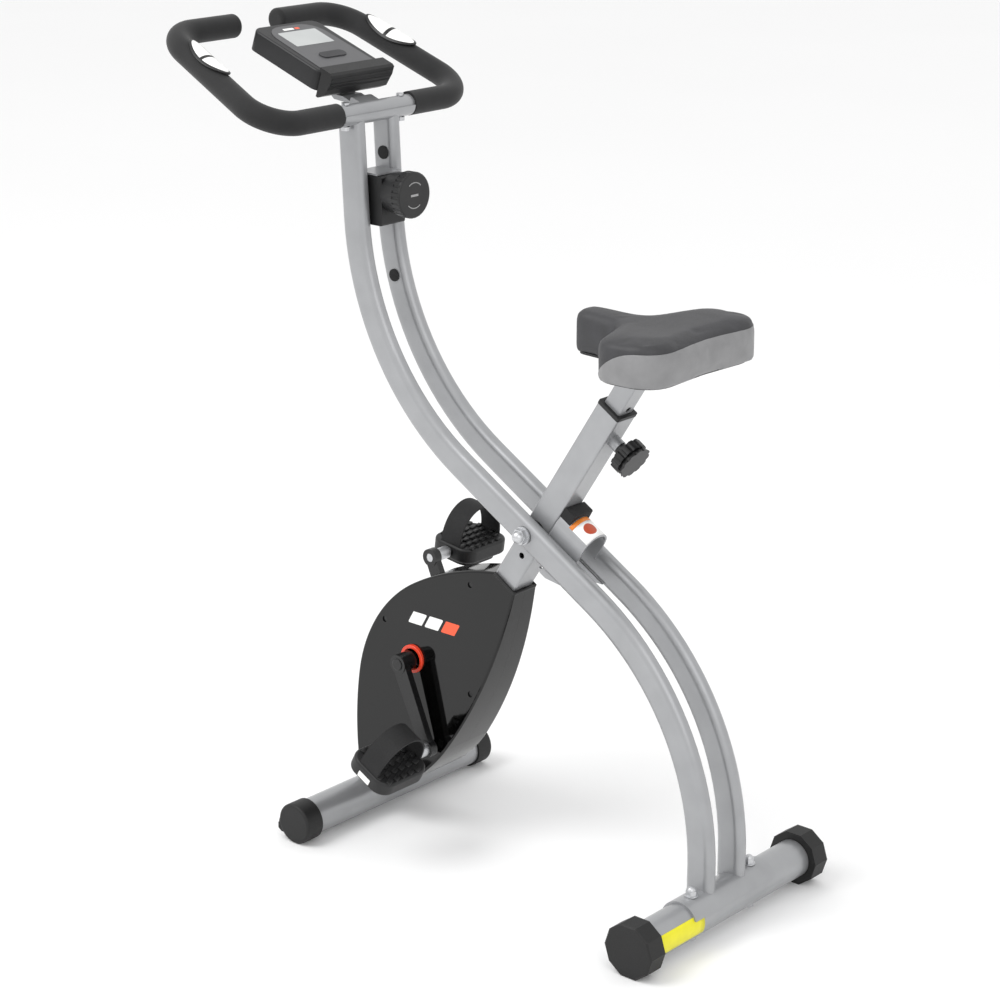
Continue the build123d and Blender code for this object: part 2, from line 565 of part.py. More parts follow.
PAN_T = 4.0
SKIRT_T = 2.5
seat_x = on_tube(SEAT_ALONG)[0]
pan = Pos(0, 0, SEAT_Z) * extrude(saddle_face(1.5), PAN_T)
pan += Pos(seat_x, 0, SEAT_Z - 1.5) * Box(90, 70, 3)
save("seat_pan", pan)
skirt = Pos(0, 0, SEAT_Z) * (extrude(saddle_face(0), 40) - extrude(saddle_face(SKIRT_T - 1.0), 40))
skirt -= side_plate(outline([(0, SEAT_Z - 5), (150, SEAT_Z - 5), (175, SEAT_Z + 24), (215, SEAT_Z + 38),
                             (300, SEAT_Z + 41), (300, 900), (0, 900)]), -200, 200)
save("seat_skirt", skirt)
CROWN_T = 12.0
CROWN_IN = 8.0
cushion = Pos(0, 0, SEAT_Z + PAN_T + SNUG) * extrude(saddle_face(SKIRT_T), SEAT_T - PAN_T - CROWN_T)
cushion += Pos(0, 0, SEAT_Z + SEAT_T - CROWN_T) * extrude(saddle_face(CROWN_IN), CROWN_T)
save("seat_cushion", cushion)

knob_at = TUBE * Pos(PIN_AT, 0, 0)


def off_tube(length, start, r0, r1=None):
    """Round bar or cone square to the tube's rear face, start millimetres from the tube's axis."""
    bar = Cylinder(r0, length) if r1 is None else Cone(r0, r1, length)
    return knob_at * Pos(0, -(start + length / 2), 0) * (Rot(90, 0, 0) * bar)


KNOB_FLAT_R = 24.0       # knob of the seat pin
tip = POST_SIZE / 2 - POST_WALL - 1.5
stem_start = TUBE_Y + BOSS_H + SLIDE
seat_pin = off_tube(40, tip, PIN_R) + off_tube(6, stem_start, 8)
seat_knob = off_tube(4, stem_start + 6, 10, 14) + off_tube(13, stem_start + 9, KNOB_FLAT_R)
seat_knob += off_tube(7, stem_start + 22, KNOB_FLAT_R - 4, KNOB_FLAT_R)
for k in range(12):
    turn = radians(30 * k)
    flute_at = Pos((KNOB_FLAT_R + 2) * cos(turn), -(stem_start + 20), (KNOB_FLAT_R + 2) * sin(turn))
    seat_knob -= knob_at * flute_at * (Rot(90, 0, 0) * Cylinder(4, 40))
seat_knob += off_tube(4, stem_start + 6, 10, 14)
save("seat_pin", seat_pin + seat_knob)

# ---- mast ---------------------------------------------------------------------------------------
upper = (MAST_TOP_X, PIVOT_Z - MAST_TOP_X * tan(radians(MAST_SLOPE)))
lower = (MAST_FOOT_X, PIVOT_Z - MAST_FOOT_X * tan(radians(MAST_SLOPE)))
mast_top_z = BAR_Z - 6
mast_low_z = REAR_CAP_R + 10
top_end = (upper[0] - (mast_top_z - upper[1]) * tan(radians(MAST_LEAN)), mast_top_z)
low_end = (lower[0], mast_low_z)


def mast_path(y):
    return FilletPolyline(*[(x, y, z) for x, z in (low_end, lower, upper, top_end)],
                          radius=[MAST_LOW_R, MAST_TOP_R])


def mast_tube(y, depth, width):
    foot = Plane(origin=(low_end[0], y, low_end[1]), x_dir=(1, 0, 0), z_dir=(0, 0, 1))
    return sweep(foot * SlotOverall(depth, width), path=mast_path(y))


SADDLE_T = 3.0
cut_bar = rod(BAR_X, BAR_Z, -120, 120, BAR_R + SNUG + SADDLE_T)
cut_foot = rod(REAR_FOOT_X, REAR_CAP_R, -120, 120, FOOT_R + SNUG + PLATE)


def mast(side):
    y = side * MAST_Y
    tube = mast_tube(y, MAST_D, MAST_W) - mast_tube(y, MAST_D - 2 * MAST_WALL, MAST_W - 2 * MAST_WALL)
    tube += ring(0, PIVOT_Z, y - MAST_W / 2, y + MAST_W / 2, PIVOT_R + RUN, PIVOT_R + 4)
    tube -= rod(0, PIVOT_Z, -80, 80, PIVOT_R + RUN)
    tube -= cut_bar
    tube -= cut_foot
    tube -= Pos(BAR_X, 0, BAR_Z + 50) * Box(100, 200, 100)
    return tube


save("mast_left", mast(-1))
save("mast_right", mast(1))

inner = MAST_GAP / 2
BRIDGE_FROM, BRIDGE_TO = 22.0, 76.0
LEG_TOP = 34.0
PAD_END, PAD_TOP, PAD_W = 39.5, 62.0, 38.0     # rubber pad: along and above the mast, and across


def arch_section(r, bottom):
    """Upside-down U across the bike, in the plane square to the mast."""
    half = Circle(r) & (Pos(0, r) * Rectangle(2 * r, 2 * r))
    return Pos(0, LEG_TOP) * half + Pos(0, (LEG_TOP + bottom) / 2) * Rectangle(2 * r, LEG_TOP - bottom)


across = Plane(origin=MAST.from_local_coords(Vector(BRIDGE_FROM, 0, 0)), x_dir=(0, 1, 0), z_dir=mast_dir)
bridge_face = arch_section(inner - SNUG, 6) - arch_section(inner - SNUG - 2.5, 0)
bridge = extrude(across * bridge_face, amount=BRIDGE_TO - BRIDGE_FROM)

tube_face = TUBE * Pos(0, -TUBE_Y - SLIDE - 250, 0) * Box(1000, 500, 200)
pad_from = TUBE_Y - 5
pad_len = PAD_END - pad_from
pad = MAST * Pos(pad_from + pad_len / 2, (PAD_TOP + LEG_TOP) / 2, 0) * Box(pad_len, PAD_TOP - LEG_TOP, PAD_W)
pad &= tube_face
pad -= extrude(across.offset(-30) * arch_section(inner, -20), amount=120)
pad = fillet(pad.edges().filter_by(Axis.Y).group_by(SortBy.LENGTH)[-1], 2)
save("rest_pad", pad)

CHEEK_IN = TUBE_Y + SLIDE * 2
LOCK_TUBE_LEN = 14.0
LOCK_KNOB_R, LOCK_KNOB_LEN, LOCK_NECK = 14.0, 18.0, 6.0


def mast_points(pts):
    """Side-view points given along and above the mast's axis, from the pivot."""
    places = [MAST.from_local_coords(Vector(x, y, 0)) for x, y in pts]
    return [(p.X, p.Z) for p in places]


def cheek(side):
    face = outline(mast_points([(26, -14), (29, -31), (37, -41), (48, -41), (78, -29), (104, -14)]))
    y0, y1 = sorted((side * CHEEK_IN, side * (inner - SNUG)))
    plate = side_plate(face, y0, y1)
    return plate - rod(LOCK_X, LOCK_Z, -80, 80, LOCK_R + SLIDE)


right_cheek = cheek(1)
lock_tube = ring(LOCK_X, LOCK_Z, inner - 1, inner + LOCK_TUBE_LEN, LOCK_R + SLIDE, 9)
under = MAST_D / 2 + 0.2
mast_room = side_plate(outline(mast_points([(-10, -under), (-10, under), (120, under), (120, -under)])), -80, 80)
save("lock_cheeks", cheek(-1), right_cheek + (lock_tube - mast_room))

lock_seat = inner + LOCK_TUBE_LEN + SLIDE + LOCK_TRAVEL
lock_pin = rod(LOCK_X, LOCK_Z, CHEEK_IN + SLIDE, lock_seat + LOCK_NECK, LOCK_R)
lock_knob = rod(LOCK_X, LOCK_Z, lock_seat + LOCK_NECK, lock_seat + LOCK_NECK + LOCK_KNOB_LEN, LOCK_KNOB_R)
lock_knob += rod(LOCK_X, LOCK_Z, lock_seat, lock_seat + LOCK_NECK, 9)
save("lock_pin", lock_pin + lock_knob)

TIE_Z0, TIE_Z1 = 846.0, 912.0
tie_x = -306.0
tie = Pos(tie_x - 5, 0, (TIE_Z0 + TIE_Z1) / 2 + 2) * Box(2.5, 2 * (inner - SNUG), TIE_Z1 - TIE_Z0 - 8)
tie += Pos(tie_x + 14, 0, TIE_Z1 - 2) * Box(40, 2 * (inner - SNUG), 2.5)
save("mast_cross_members", bridge, tie)
house = Pos(tie_x + 19, 0, (TIE_Z0 + TIE_Z1) / 2 - 4) * Box(44, 2 * inner - 1.0, TIE_Z1 - TIE_Z0)
house = fillet(house.edges().filter_by(Axis.Y), 3)
house = house - Pos(tie_x + 14, 0, TIE_Z1 + 2) * Box(44, 100, 11)
house -= Pos(tie_x + 16, 0, (TIE_Z0 + TIE_Z1) / 2 - 4) * Box(40, 2 * inner - 6, TIE_Z1 - TIE_Z0 - 18)
stem_r = 5.0
knob_back = tie_x + 41


def fore_rod(x0, x1, r0, r1=None):
    """Round bar or cone along the bike, at the tension knob."""
    bar = Cylinder(r0, x1 - x0) if r1 is None else Cone(r0, r1, x1 - x0)
    return Pos((x0 + x1) / 2, 0, KNOB_Z) * (Rot(0, 90, 0) * bar)


house -= fore_rod(knob_back - 30, knob_back + 5, stem_r + RUN)
save("tension_housing", house)
knob = fore_rod(knob_back + 1.0, KNOB_X - 14, 26, KNOB_R - 1) + fore_rod(KNOB_X - 14, KNOB_X, KNOB_R)
knob = fillet(knob.edges().filter_by(GeomType.CIRCLE).sort_by(Axis.X)[-1], 3)
knob += fore_rod(knob_back - 12, knob_back + 2, stem_r)
for k in range(24):
    turn = radians(15 * k)
    knob -= Pos(KNOB_X - 7, (KNOB_R + 1) * cos(turn), KNOB_Z + (KNOB_R + 1) * sin(turn)) * (
        Rot(0, 90, 0) * Cylinder(2, 12))
save("tension_knob", knob)

GROMMETS = [(-303.5, 930.4, 9.0), (-286.1, 765.6, 8.5)]
grommets = []
for side in (-1, 1):
    for gx, gz, gr in GROMMETS:
        y0, y1 = sorted((side * (inner - 1.5), side * (inner - SNUG)))
        grommets.append(rod(gx, gz, y0, y1, gr))
save("mast_grommets", *grommets)

# ---- rear foot ------------------------------------------------------------------------------------
rear_tube_half = FOOT_HALF - CAP_LEN + CAP_GRIP
rear_foot = ring(REAR_FOOT_X, REAR_CAP_R, -rear_tube_half, rear_tube_half, FOOT_R - FOOT_WALL, FOOT_R)
REAR_BOLT_Y = 62.0
for side in (-1, 1):
    rear_foot -= stand(REAR_FOOT_X, side * REAR_BOLT_Y, 0, 200, 4 + SNUG)
save("rear_stabilizer", rear_foot)
SADDLE_HALF = 86.0
top_half = Pos(REAR_FOOT_X, 0, REAR_CAP_R + 60) * Box(200, 300, 100)
rear_saddle = ring(REAR_FOOT_X, REAR_CAP_R, -SADDLE_HALF, SADDLE_HALF, FOOT_R + SNUG, FOOT_R + PLATE)
rear_saddle &= top_half
for side in (-1, 1):
    rear_saddle -= stand(REAR_FOOT_X, side * REAR_BOLT_Y, 0, 200, 4 + SNUG)
save("rear_saddle", rear_saddle)
bolt_top = REAR_CAP_R + FOOT_R + PLATE
rear_bolts = []
for side in (-1, 1):
    y = side * REAR_BOLT_Y
    bolt = stand(REAR_FOOT_X, y, REAR_CAP_R - FOOT_R - 4, bolt_top + 6, 4)
    bolt += stand(REAR_FOOT_X, y, REAR_CAP_R - FOOT_R - 5, REAR_CAP_R - FOOT_R - 0.1, 8)
    bolt += stand(REAR_FOOT_X, y, bolt_top + SNUG, bolt_top + 1.5, 8.5)
    bolt += hex_stand(REAR_FOOT_X, y, bolt_top + 1.5, bolt_top + 8, 13)
    dome = Pos(REAR_FOOT_X, y, bolt_top + 7) * Sphere(6)
    bolt += dome & (Pos(REAR_FOOT_X, y, bolt_top + 57) * Box(50, 50, 100))
    rear_bolts.append(bolt)
save("rear_bolts", *rear_bolts)


def levelling_cap():
    prism = side_plate(Pos(REAR_FOOT_X, REAR_CAP_R) * RegularPolygon(REAR_CAP_R, 10, major_radius=False),
                       FOOT_HALF - CAP_LEN, FOOT_HALF)
    prism = chamfer(prism.edges().group_by(Axis.Y)[-1], 2)
    return prism - rod(REAR_FOOT_X, REAR_CAP_R, 0, FOOT_HALF - CAP_LEN + CAP_GRIP + SLIDE, FOOT_R + SLIDE)


level = levelling_cap()
save("levelling_cap_right", level)
save("levelling_cap_left", mirrored(level))

# ---- handlebar --------------------------------------------------------------------------------------
def bar_path(side, start_y, tip_y):
    pts = [(0, start_y), (0, BAR_REAR_Y), (BAR_REACH, BAR_FRONT_Y), (BAR_REACH, tip_y)]
    world = [BAR.from_local_coords(Vector(x, -side * y, 0)) for x, y in pts]
    return FilletPolyline(*world, radius=BAR_BEND)


def bar_sweep(side, start_y, tip_y, r):
    section = Plane(origin=(BAR_X, side * start_y, BAR_Z), x_dir=(1, 0, 0), z_dir=(0, side, 0)) * Circle(r)
    return sweep(section, path=bar_path(side, start_y, tip_y))


TIP_T = 7.0              # foam beyond the end of the tube
TIP_ROUND = 6.0
tube_parts = []
for side in (-1, 1):
    tube_end = BAR_TIP_Y + TIP_T
    tube_parts.append(bar_sweep(side, 0, tube_end, BAR_R) - bar_sweep(side, 0, tube_end, BAR_R - BAR_WALL))
bar_tube = tube_parts[0] + tube_parts[1]
CLAMP_Y = 52.0
for side in (-1, 1):
    bar_tube -= stand(BAR_X, side * CLAMP_Y, BAR_Z - 40, BAR_Z + 40, 3 + SNUG)
save("handlebar_tube", bar_tube)
for side, name in ((-1, "grip_left"), (1, "grip_right")):
    foam = bar_sweep(side, GRIP_START_Y, BAR_TIP_Y, GRIP_R)
    tip_at = BAR.from_local_coords(Vector(BAR_REACH, -side * BAR_TIP_Y, 0))
    tip_rim = foam.edges().filter_by(GeomType.CIRCLE).sort_by(lambda e: (e.arc_center - tip_at).length)[0]
    foam = fillet(tip_rim, TIP_ROUND)
    save(name, foam - bar_sweep(side, GRIP_START_Y, BAR_TIP_Y + TIP_T, BAR_R + SNUG))
saddle_half = 66.0
low_half = Pos(BAR_X, 0, BAR_Z - 50) * Box(100, 300, 100)
bar_saddle = ring(BAR_X, BAR_Z, -saddle_half, saddle_half, BAR_R + SNUG, BAR_R + SADDLE_T) & low_half
for side in (-1, 1):
    bar_saddle -= stand(BAR_X, side * CLAMP_Y, BAR_Z - 60, BAR_Z + 40, 3 + SNUG)
save("handlebar_saddle", bar_saddle)
clamp_bolts = []
for side in (-1, 1):
    y = side * CLAMP_Y
    low = BAR_Z - BAR_R - SADDLE_T
    clamp_bolts.append(stand(BAR_X, y, low - 2, BAR_Z + BAR_R + 0.5, 3)
                       + stand(BAR_X, y, low - 5, low - 0.1, 6)
                       + stand(BAR_X, y, BAR_Z + BAR_R + 0.05, BAR_Z + BAR_R + 3, 5))
save("handlebar_bolts", *clamp_bolts)

# pulse sensors on the inner upper side of the side runs
side_dx = BAR_REACH
side_dy = BAR_FRONT_Y - BAR_REAR_Y
side_len = (side_dx ** 2 + side_dy ** 2) ** 0.5
SENSOR_MID = 145.0       # forward of the rear run
SENSOR_LEN = 88.0
SENSOR_T = 2.2
PLATE_T = 1.0
PLATE_LEN = 37.0
SENSOR_TURN = 8.0        # degrees from square to the bar's plane towards the middle


def sensor_parts(side):
    mid_y = BAR_REAR_Y + side_dy * SENSOR_MID / BAR_REACH
    origin = BAR.from_local_coords(Vector(SENSOR_MID, -side * mid_y, 0))
    step_x, step_y = side_dx / side_len, side_dy / side_len
    ahead = BAR.from_local_coords(Vector(SENSOR_MID + step_x, -side * (mid_y + step_y), 0))
    frame = Plane(origin=origin, x_dir=BAR.z_dir, z_dir=ahead - origin)
    # local x is off the bar's plane; towards the middle of the bike is inward
    inward = 1 if frame.y_dir.Y * side < 0 else -1

    def shell_arc(r0, r1, length, at, spread):
        body = Cylinder(r1, length) - Cylinder(r0, length + 2)
        fan = [(reach * cos(radians(SENSOR_TURN * inward + turn)), reach * sin(radians(SENSOR_TURN * inward + turn)))
               for reach, turn in ((60, -spread), (90, 0), (60, spread))]
        keep = extrude(Polygon((0, 0), *fan, align=None), amount=length)
        return frame * Pos(0, 0, at) * (body & Pos(0, 0, -length / 2) * keep)

    base = shell_arc(GRIP_R + SNUG, GRIP_R + SENSOR_T, SENSOR_LEN, 0, 72)
    plate_r = GRIP_R + SENSOR_T
    plates = [shell_arc(plate_r + SNUG, plate_r + PLATE_T, PLATE_LEN, s * (PLATE_LEN / 2 + 3), 60)
              for s in (-1, 1)]
    return base, plates


base_l, plates_l = sensor_parts(-1)
base_r, plates_r = sensor_parts(1)
save("pulse_sensor_bases", base_l, base_r)
save("pulse_sensor_plates", *plates_l, *plates_r)

# ---- console ------------------------------------------------------------------------------------------
BUTTON_AT = 40.0
BUTTON_L, BUTTON_W = 15.0, 46.0
BUTTON_DEEP = 4.0
LCD_AT, LCD_L, LCD_W = 96.0, 40.0, 74.0
FACE_STEP = 1.5
case = CONSOLE * Pos(CONSOLE_L / 2, 0, -CONSOLE_T / 2) * Box(CONSOLE_L, CONSOLE_W, CONSOLE_T)
case = fillet(case.edges().filter_by(Axis((0, 0, 0), tuple(CONSOLE.z_dir))), 14)
case = fillet(case.edges().group_by(Axis((0, 0, 0), tuple(CONSOLE.z_dir)))[-1], 3)
case -= CONSOLE * Pos(LCD_AT, 0, 0) * Box(LCD_L + 2 * SNUG, LCD_W + 2 * SNUG, 2 * FACE_STEP)
case_room = Box(CONSOLE_L - 10, CONSOLE_W - 10, CONSOLE_T - 8)
case -= CONSOLE * Pos(CONSOLE_L / 2, 0, -CONSOLE_T / 2 - 1) * case_room
case -= CONSOLE * Pos(BUTTON_AT, 0, 0) * extrude(SlotOverall(BUTTON_W + 2 * SLIDE, BUTTON_L + 2 * SLIDE,
                                                             rotation=90), amount=20, both=True)
save("console_body", case)
glass = CONSOLE * Pos(LCD_AT, 0, -FACE_STEP / 2) * Box(LCD_L, LCD_W, FACE_STEP - 0.2)
save("console_display", glass)
button = CONSOLE * Pos(BUTTON_AT, 0, -BUTTON_DEEP) * extrude(SlotOverall(BUTTON_W, BUTTON_L, rotation=90),
                                                             amount=BUTTON_DEEP + 1.8)
button = fillet(button.edges().group_by(Axis((0, 0, 0), tuple(CONSOLE.z_dir)))[-1], 0.8)
save("console_button", button)
LEDGE_DROP = 34.0
STAY_HALF = 18.0
side_frame = Plane(origin=CONSOLE.origin, x_dir=CONSOLE.x_dir, z_dir=(0, 1, 0))
ledge_face = outline([(-19, -7), (-19, 4), (-15, 6), (4, 6), (4, SNUG), (-SNUG, SNUG),
                      (-SNUG, -LEDGE_DROP), (-4, -LEDGE_DROP), (-14, -26)])
ledge = extrude(side_frame * ledge_face, amount=CONSOLE_W / 2, both=True)
save("phone_ledge", ledge)
stay_low = BAR_Z + BAR_R - 1
ledge_low = CONSOLE.from_local_coords(Vector(0, 0, -LEDGE_DROP))
case_at = [CONSOLE.from_local_coords(Vector(u, 0, -CONSOLE_T)) for u in (12, 46)]
stay_face = outline([(BAR_X + 8, stay_low - 8), (BAR_X + 8, ledge_low.Z - 4),
                     (ledge_low.X - 2, ledge_low.Z - 3.5), (case_at[0].X, case_at[0].Z + 3),
                     (case_at[1].X, case_at[1].Z + 3), (case_at[0].X + 2, stay_low - 1),
                     (BAR_X - 11, stay_low - 6)])
stay = side_plate(stay_face, -STAY_HALF, STAY_HALF)
stay -= rod(BAR_X, BAR_Z, -100, 100, BAR_R + SNUG)
stay -= CONSOLE * Pos(60, 0, 50 - CONSOLE_T - SNUG) * Box(400, 200, 100)
stay -= CONSOLE * Pos(-12, 0, -14) * Box(24, 200, 41)
save("console_stay", stay)
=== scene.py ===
import json
from math import atan, cos, pi, radians, sin, tan

import bmesh
import bpy
from mathutils import Matrix, Vector


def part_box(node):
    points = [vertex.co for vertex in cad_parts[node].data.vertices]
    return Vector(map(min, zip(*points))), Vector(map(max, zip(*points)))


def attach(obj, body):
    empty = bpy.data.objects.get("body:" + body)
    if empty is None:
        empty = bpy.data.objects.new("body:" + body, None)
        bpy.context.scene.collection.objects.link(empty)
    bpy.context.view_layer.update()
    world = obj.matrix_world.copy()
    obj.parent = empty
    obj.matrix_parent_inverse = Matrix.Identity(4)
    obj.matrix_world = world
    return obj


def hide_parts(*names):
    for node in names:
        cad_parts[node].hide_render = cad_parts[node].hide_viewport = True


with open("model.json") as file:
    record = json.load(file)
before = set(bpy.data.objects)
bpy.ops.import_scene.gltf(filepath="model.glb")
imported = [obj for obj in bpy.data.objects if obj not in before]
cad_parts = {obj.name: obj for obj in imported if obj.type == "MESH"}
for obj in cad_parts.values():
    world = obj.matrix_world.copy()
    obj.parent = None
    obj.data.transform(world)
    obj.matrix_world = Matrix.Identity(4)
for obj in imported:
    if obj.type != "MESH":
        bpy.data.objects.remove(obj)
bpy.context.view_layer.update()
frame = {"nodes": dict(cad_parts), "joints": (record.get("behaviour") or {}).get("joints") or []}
MM = 0.001
nodes = frame["nodes"]
joints = {joint["name"]: joint for joint in frame["joints"]}


# ---- colour and material helpers ------------------------------------------------------------
def srgb(code, alpha=1.0):
    """A hex colour as the linear values that a shader takes."""
    shares = [int(code[i:i + 2], 16) / 255 for i in (1, 3, 5)]
    return [s / 12.92 if s <= 0.04045 else ((s + 0.055) / 1.055) ** 2.4 for s in shares] + [alpha]


def add(tree, kind, inputs=None, **settings):
    """Adds a node with its settings, and its sockets set or linked."""
    made = tree.nodes.new("ShaderNode" + kind)
    for name, value in settings.items():
        setattr(made, name, value)
    for socket, value in (inputs or {}).items():
        if isinstance(value, bpy.types.NodeSocket):
            tree.links.new(value, made.inputs[socket])
        else:
            made.inputs[socket].default_value = value
    return made


def start(name):
    """A new material: its tree, its shader and the object's own coordinates."""
    material = bpy.data.materials.new(name)
    material.use_nodes = True
    tree = material.node_tree
    tree.nodes.clear()
    shader = add(tree, "BsdfPrincipled")
    output = add(tree, "OutputMaterial")
    tree.links.new(shader.outputs[0], output.inputs[0])
    return material, tree, shader, add(tree, "TexCoord").outputs["Object"]


def ramp(tree, fac, stops):
    """A colour ramp with the given (place, colour) stops."""
    made = add(tree, "ValToRGB", {"Fac": fac})
    elements = made.color_ramp.elements
    while len(elements) < len(stops):
        elements.new(0.5)
    for element, (place, colour) in zip(elements, stops):
        element.position = place
        element.color = colour
    return made.outputs["Color"]


def vary(tree, shader, socket, fac, stops):
    """Lets a ramp of fac drive one of the shader's sockets."""
    tree.links.new(ramp(tree, fac, stops), shader.inputs[socket])


def grey(value):
    return [value, value, value, 1.0]


def bump(tree, shader, height, depth, strength=1.0):
    """Relief of the given depth in metres, from a height between 0 and 1."""
    made = add(tree, "Bump", {"Height": height, "Distance": depth, "Strength": strength})
    tree.links.new(made.outputs["Normal"], shader.inputs["Normal"])


def grain(tree, place, size, detail=2.0, roughness=0.5):
    """Noise whose lumps are about size metres across."""
    return add(tree, "TexNoise", {"Vector": place, "Scale": 1 / size, "Detail": detail,
                                  "Roughness": roughness}).outputs["Fac"]


# ---- materials ----------------------------------------------------------------------------------
def silver_paint():
    """Silver-grey metallic enamel on steel tube: a satin lacquer with faint orange peel and flake."""
    material, tree, shader, place = start("silver_enamel_paint")
    shader.inputs["Metallic"].default_value = 0.5
    shader.inputs["Coat Weight"].default_value = 0.25
    shader.inputs["Coat Roughness"].default_value = 0.25
    cloudy = grain(tree, place, 40 * MM)
    vary(tree, shader, "Base Color", cloudy, [(0.3, srgb("#9A9B9D")), (0.7, srgb("#A1A2A4"))])
    flake = grain(tree, place, 0.9 * MM, detail=1.0)
    vary(tree, shader, "Roughness", flake, [(0.35, grey(0.3)), (0.65, grey(0.4))])
    bump(tree, shader, grain(tree, place, 1.6 * MM), 0.05 * MM, 0.6)
    return material


def gloss_black():
    """Polished ABS shell: deep black with a clear mirror gloss and a trace of moulding ripple."""
    material, tree, shader, place = start("polished_black_abs")
    cloudy = grain(tree, place, 60 * MM)
    vary(tree, shader, "Base Color", cloudy, [(0.3, srgb("#030303")), (0.7, srgb("#060606"))])
    vary(tree, shader, "Roughness", grain(tree, place, 8 * MM), [(0.3, grey(0.05)), (0.7, grey(0.09))])
    shader.inputs["Specular IOR Level"].default_value = 0.42
    bump(tree, shader, grain(tree, place, 90 * MM, detail=0.0), 0.12 * MM, 0.4)
    return material


def moulded_plastic(name, dark, light, rough=(0.45, 0.58), speck=0.7 * MM):
    """Injection-moulded plastic with a fine spark-eroded grain, so highlights are broad and soft."""
    material, tree, shader, place = start(name)
    cloudy = grain(tree, place, 25 * MM)
    vary(tree, shader, "Base Color", cloudy, [(0.3, srgb(dark)), (0.7, srgb(light))])
    speckle = grain(tree, place, speck, detail=1.0)
    vary(tree, shader, "Roughness", speckle, [(0.3, grey(rough[0])), (0.7, grey(rough[1]))])
    bump(tree, shader, speckle, 0.06 * MM, 0.7)
    return material


def foam_rubber():
    """Closed-cell nitrile foam sleeve: dull black, with cells about a millimetre across."""
    material, tree, shader, place = start("nitrile_foam")
    vary(tree, shader, "Base Color", grain(tree, place, 18 * MM),
         [(0.3, srgb("#111112")), (0.7, srgb("#171718"))])
    shader.inputs["Roughness"].default_value = 0.82
    shader.inputs["Sheen Weight"].default_value = 0.12
    shader.inputs["Sheen Roughness"].default_value = 0.5
    cells = add(tree, "TexVoronoi", {"Vector": place, "Scale": 1 / (1.1 * MM)}).outputs["Distance"]
    bump(tree, shader, cells, 0.12 * MM, 0.8)
    return material


def grained_vinyl(name, dark, light, rough):
    """Leathercloth with an embossed pebble grain about 1.5 mm across and finer creases between."""
    material, tree, shader, place = start(name)
    pebble = add(tree, "TexVoronoi", {"Vector": place, "Scale": 1 / (1.6 * MM)},
                 feature="DISTANCE_TO_EDGE").outputs[0]
    vary(tree, shader, "Base Color", grain(tree, place, 22 * MM),
         [(0.3, srgb(dark)), (0.7, srgb(light))])
    vary(tree, shader, "Roughness", pebble, [(0.0, grey(rough + 0.12)), (0.3, grey(rough))])
    soft = ramp(tree, pebble, [(0.0, grey(0.0)), (0.25, grey(1.0))])
    bump(tree, shader, soft, 0.08 * MM, 0.55)
    return material


def plated_steel(name="zinc_plated_steel", tone="#C9CACC", rough=0.24):
    """Bright zinc or chrome plating with faint handling marks."""
    material, tree, shader, place = start(name)
    shader.inputs["Base Color"].default_value = srgb(tone)
    shader.inputs["Metallic"].default_value = 1.0
    vary(tree, shader, "Roughness", grain(tree, place, 3 * MM),
         [(0.3, grey(rough - 0.06)), (0.7, grey(rough + 0.08))])
    bump(tree, shader, grain(tree, place, 4 * MM), 0.01 * MM, 0.3)
    return material


def turned_iron():
    """Cast flywheel iron, turned: dark grey with fine concentric tool marks."""
    material, tree, shader, place = start("turned_cast_iron")
    shader.inputs["Metallic"].default_value = 1.0
    centre = joints["flywheel_spin"]["pos_m"]
    about = add(tree, "Mapping", {"Vector": place, "Location": [-c for c in centre]}).outputs[0]
    rings = add(tree, "TexWave", {"Vector": about, "Scale": 1 / (9 * MM), "Distortion": 0.4},
                wave_type="RINGS", rings_direction="Y").outputs["Fac"]
    vary(tree, shader, "Base Color", grain(tree, place, 5 * MM),
         [(0.3, srgb("#55565A")), (0.7, srgb("#6C6D70"))])
    shader.inputs["Roughness"].default_value = 0.42
    bump(tree, shader, rings, 0.04 * MM)
    return material


def moulded_rubber():
    """Moulded black rubber: dull, with a very fine bloom."""
    return moulded_plastic("moulded_rubber", "#0D0D0E", "#131314", rough=(0.68, 0.8), speck=1.0 * MM)


def flat_print(name, tone, rough=0.35):
    """Printed vinyl or screen ink: an even film with a faint surface ripple."""
    material, tree, shader, place = start(name)
    cloudy = grain(tree, place, 12 * MM)
    pale = srgb(tone)
    deep = [c * 0.93 for c in pale[:3]] + [1.0]
    vary(tree, shader, "Base Color", cloudy, [(0.3, deep), (0.7, pale)])
    shader.inputs["Roughness"].default_value = rough
    bump(tree, shader, grain(tree, place, 2 * MM), 0.015 * MM, 0.5)
    return material


def display_glass():
    """Liquid crystal window: pale grey-green film behind clear polycarbonate."""
    material, tree, shader, place = start("display_window")
    vary(tree, shader, "Base Color", grain(tree, place, 60 * MM),
         [(0.3, srgb("#A9ACAC")), (0.7, srgb("#B3B6B5"))])
    shader.inputs["Roughness"].default_value = 0.18
    shader.inputs["Coat Weight"].default_value = 0.6
    shader.inputs["Coat Roughness"].default_value = 0.05
    return material


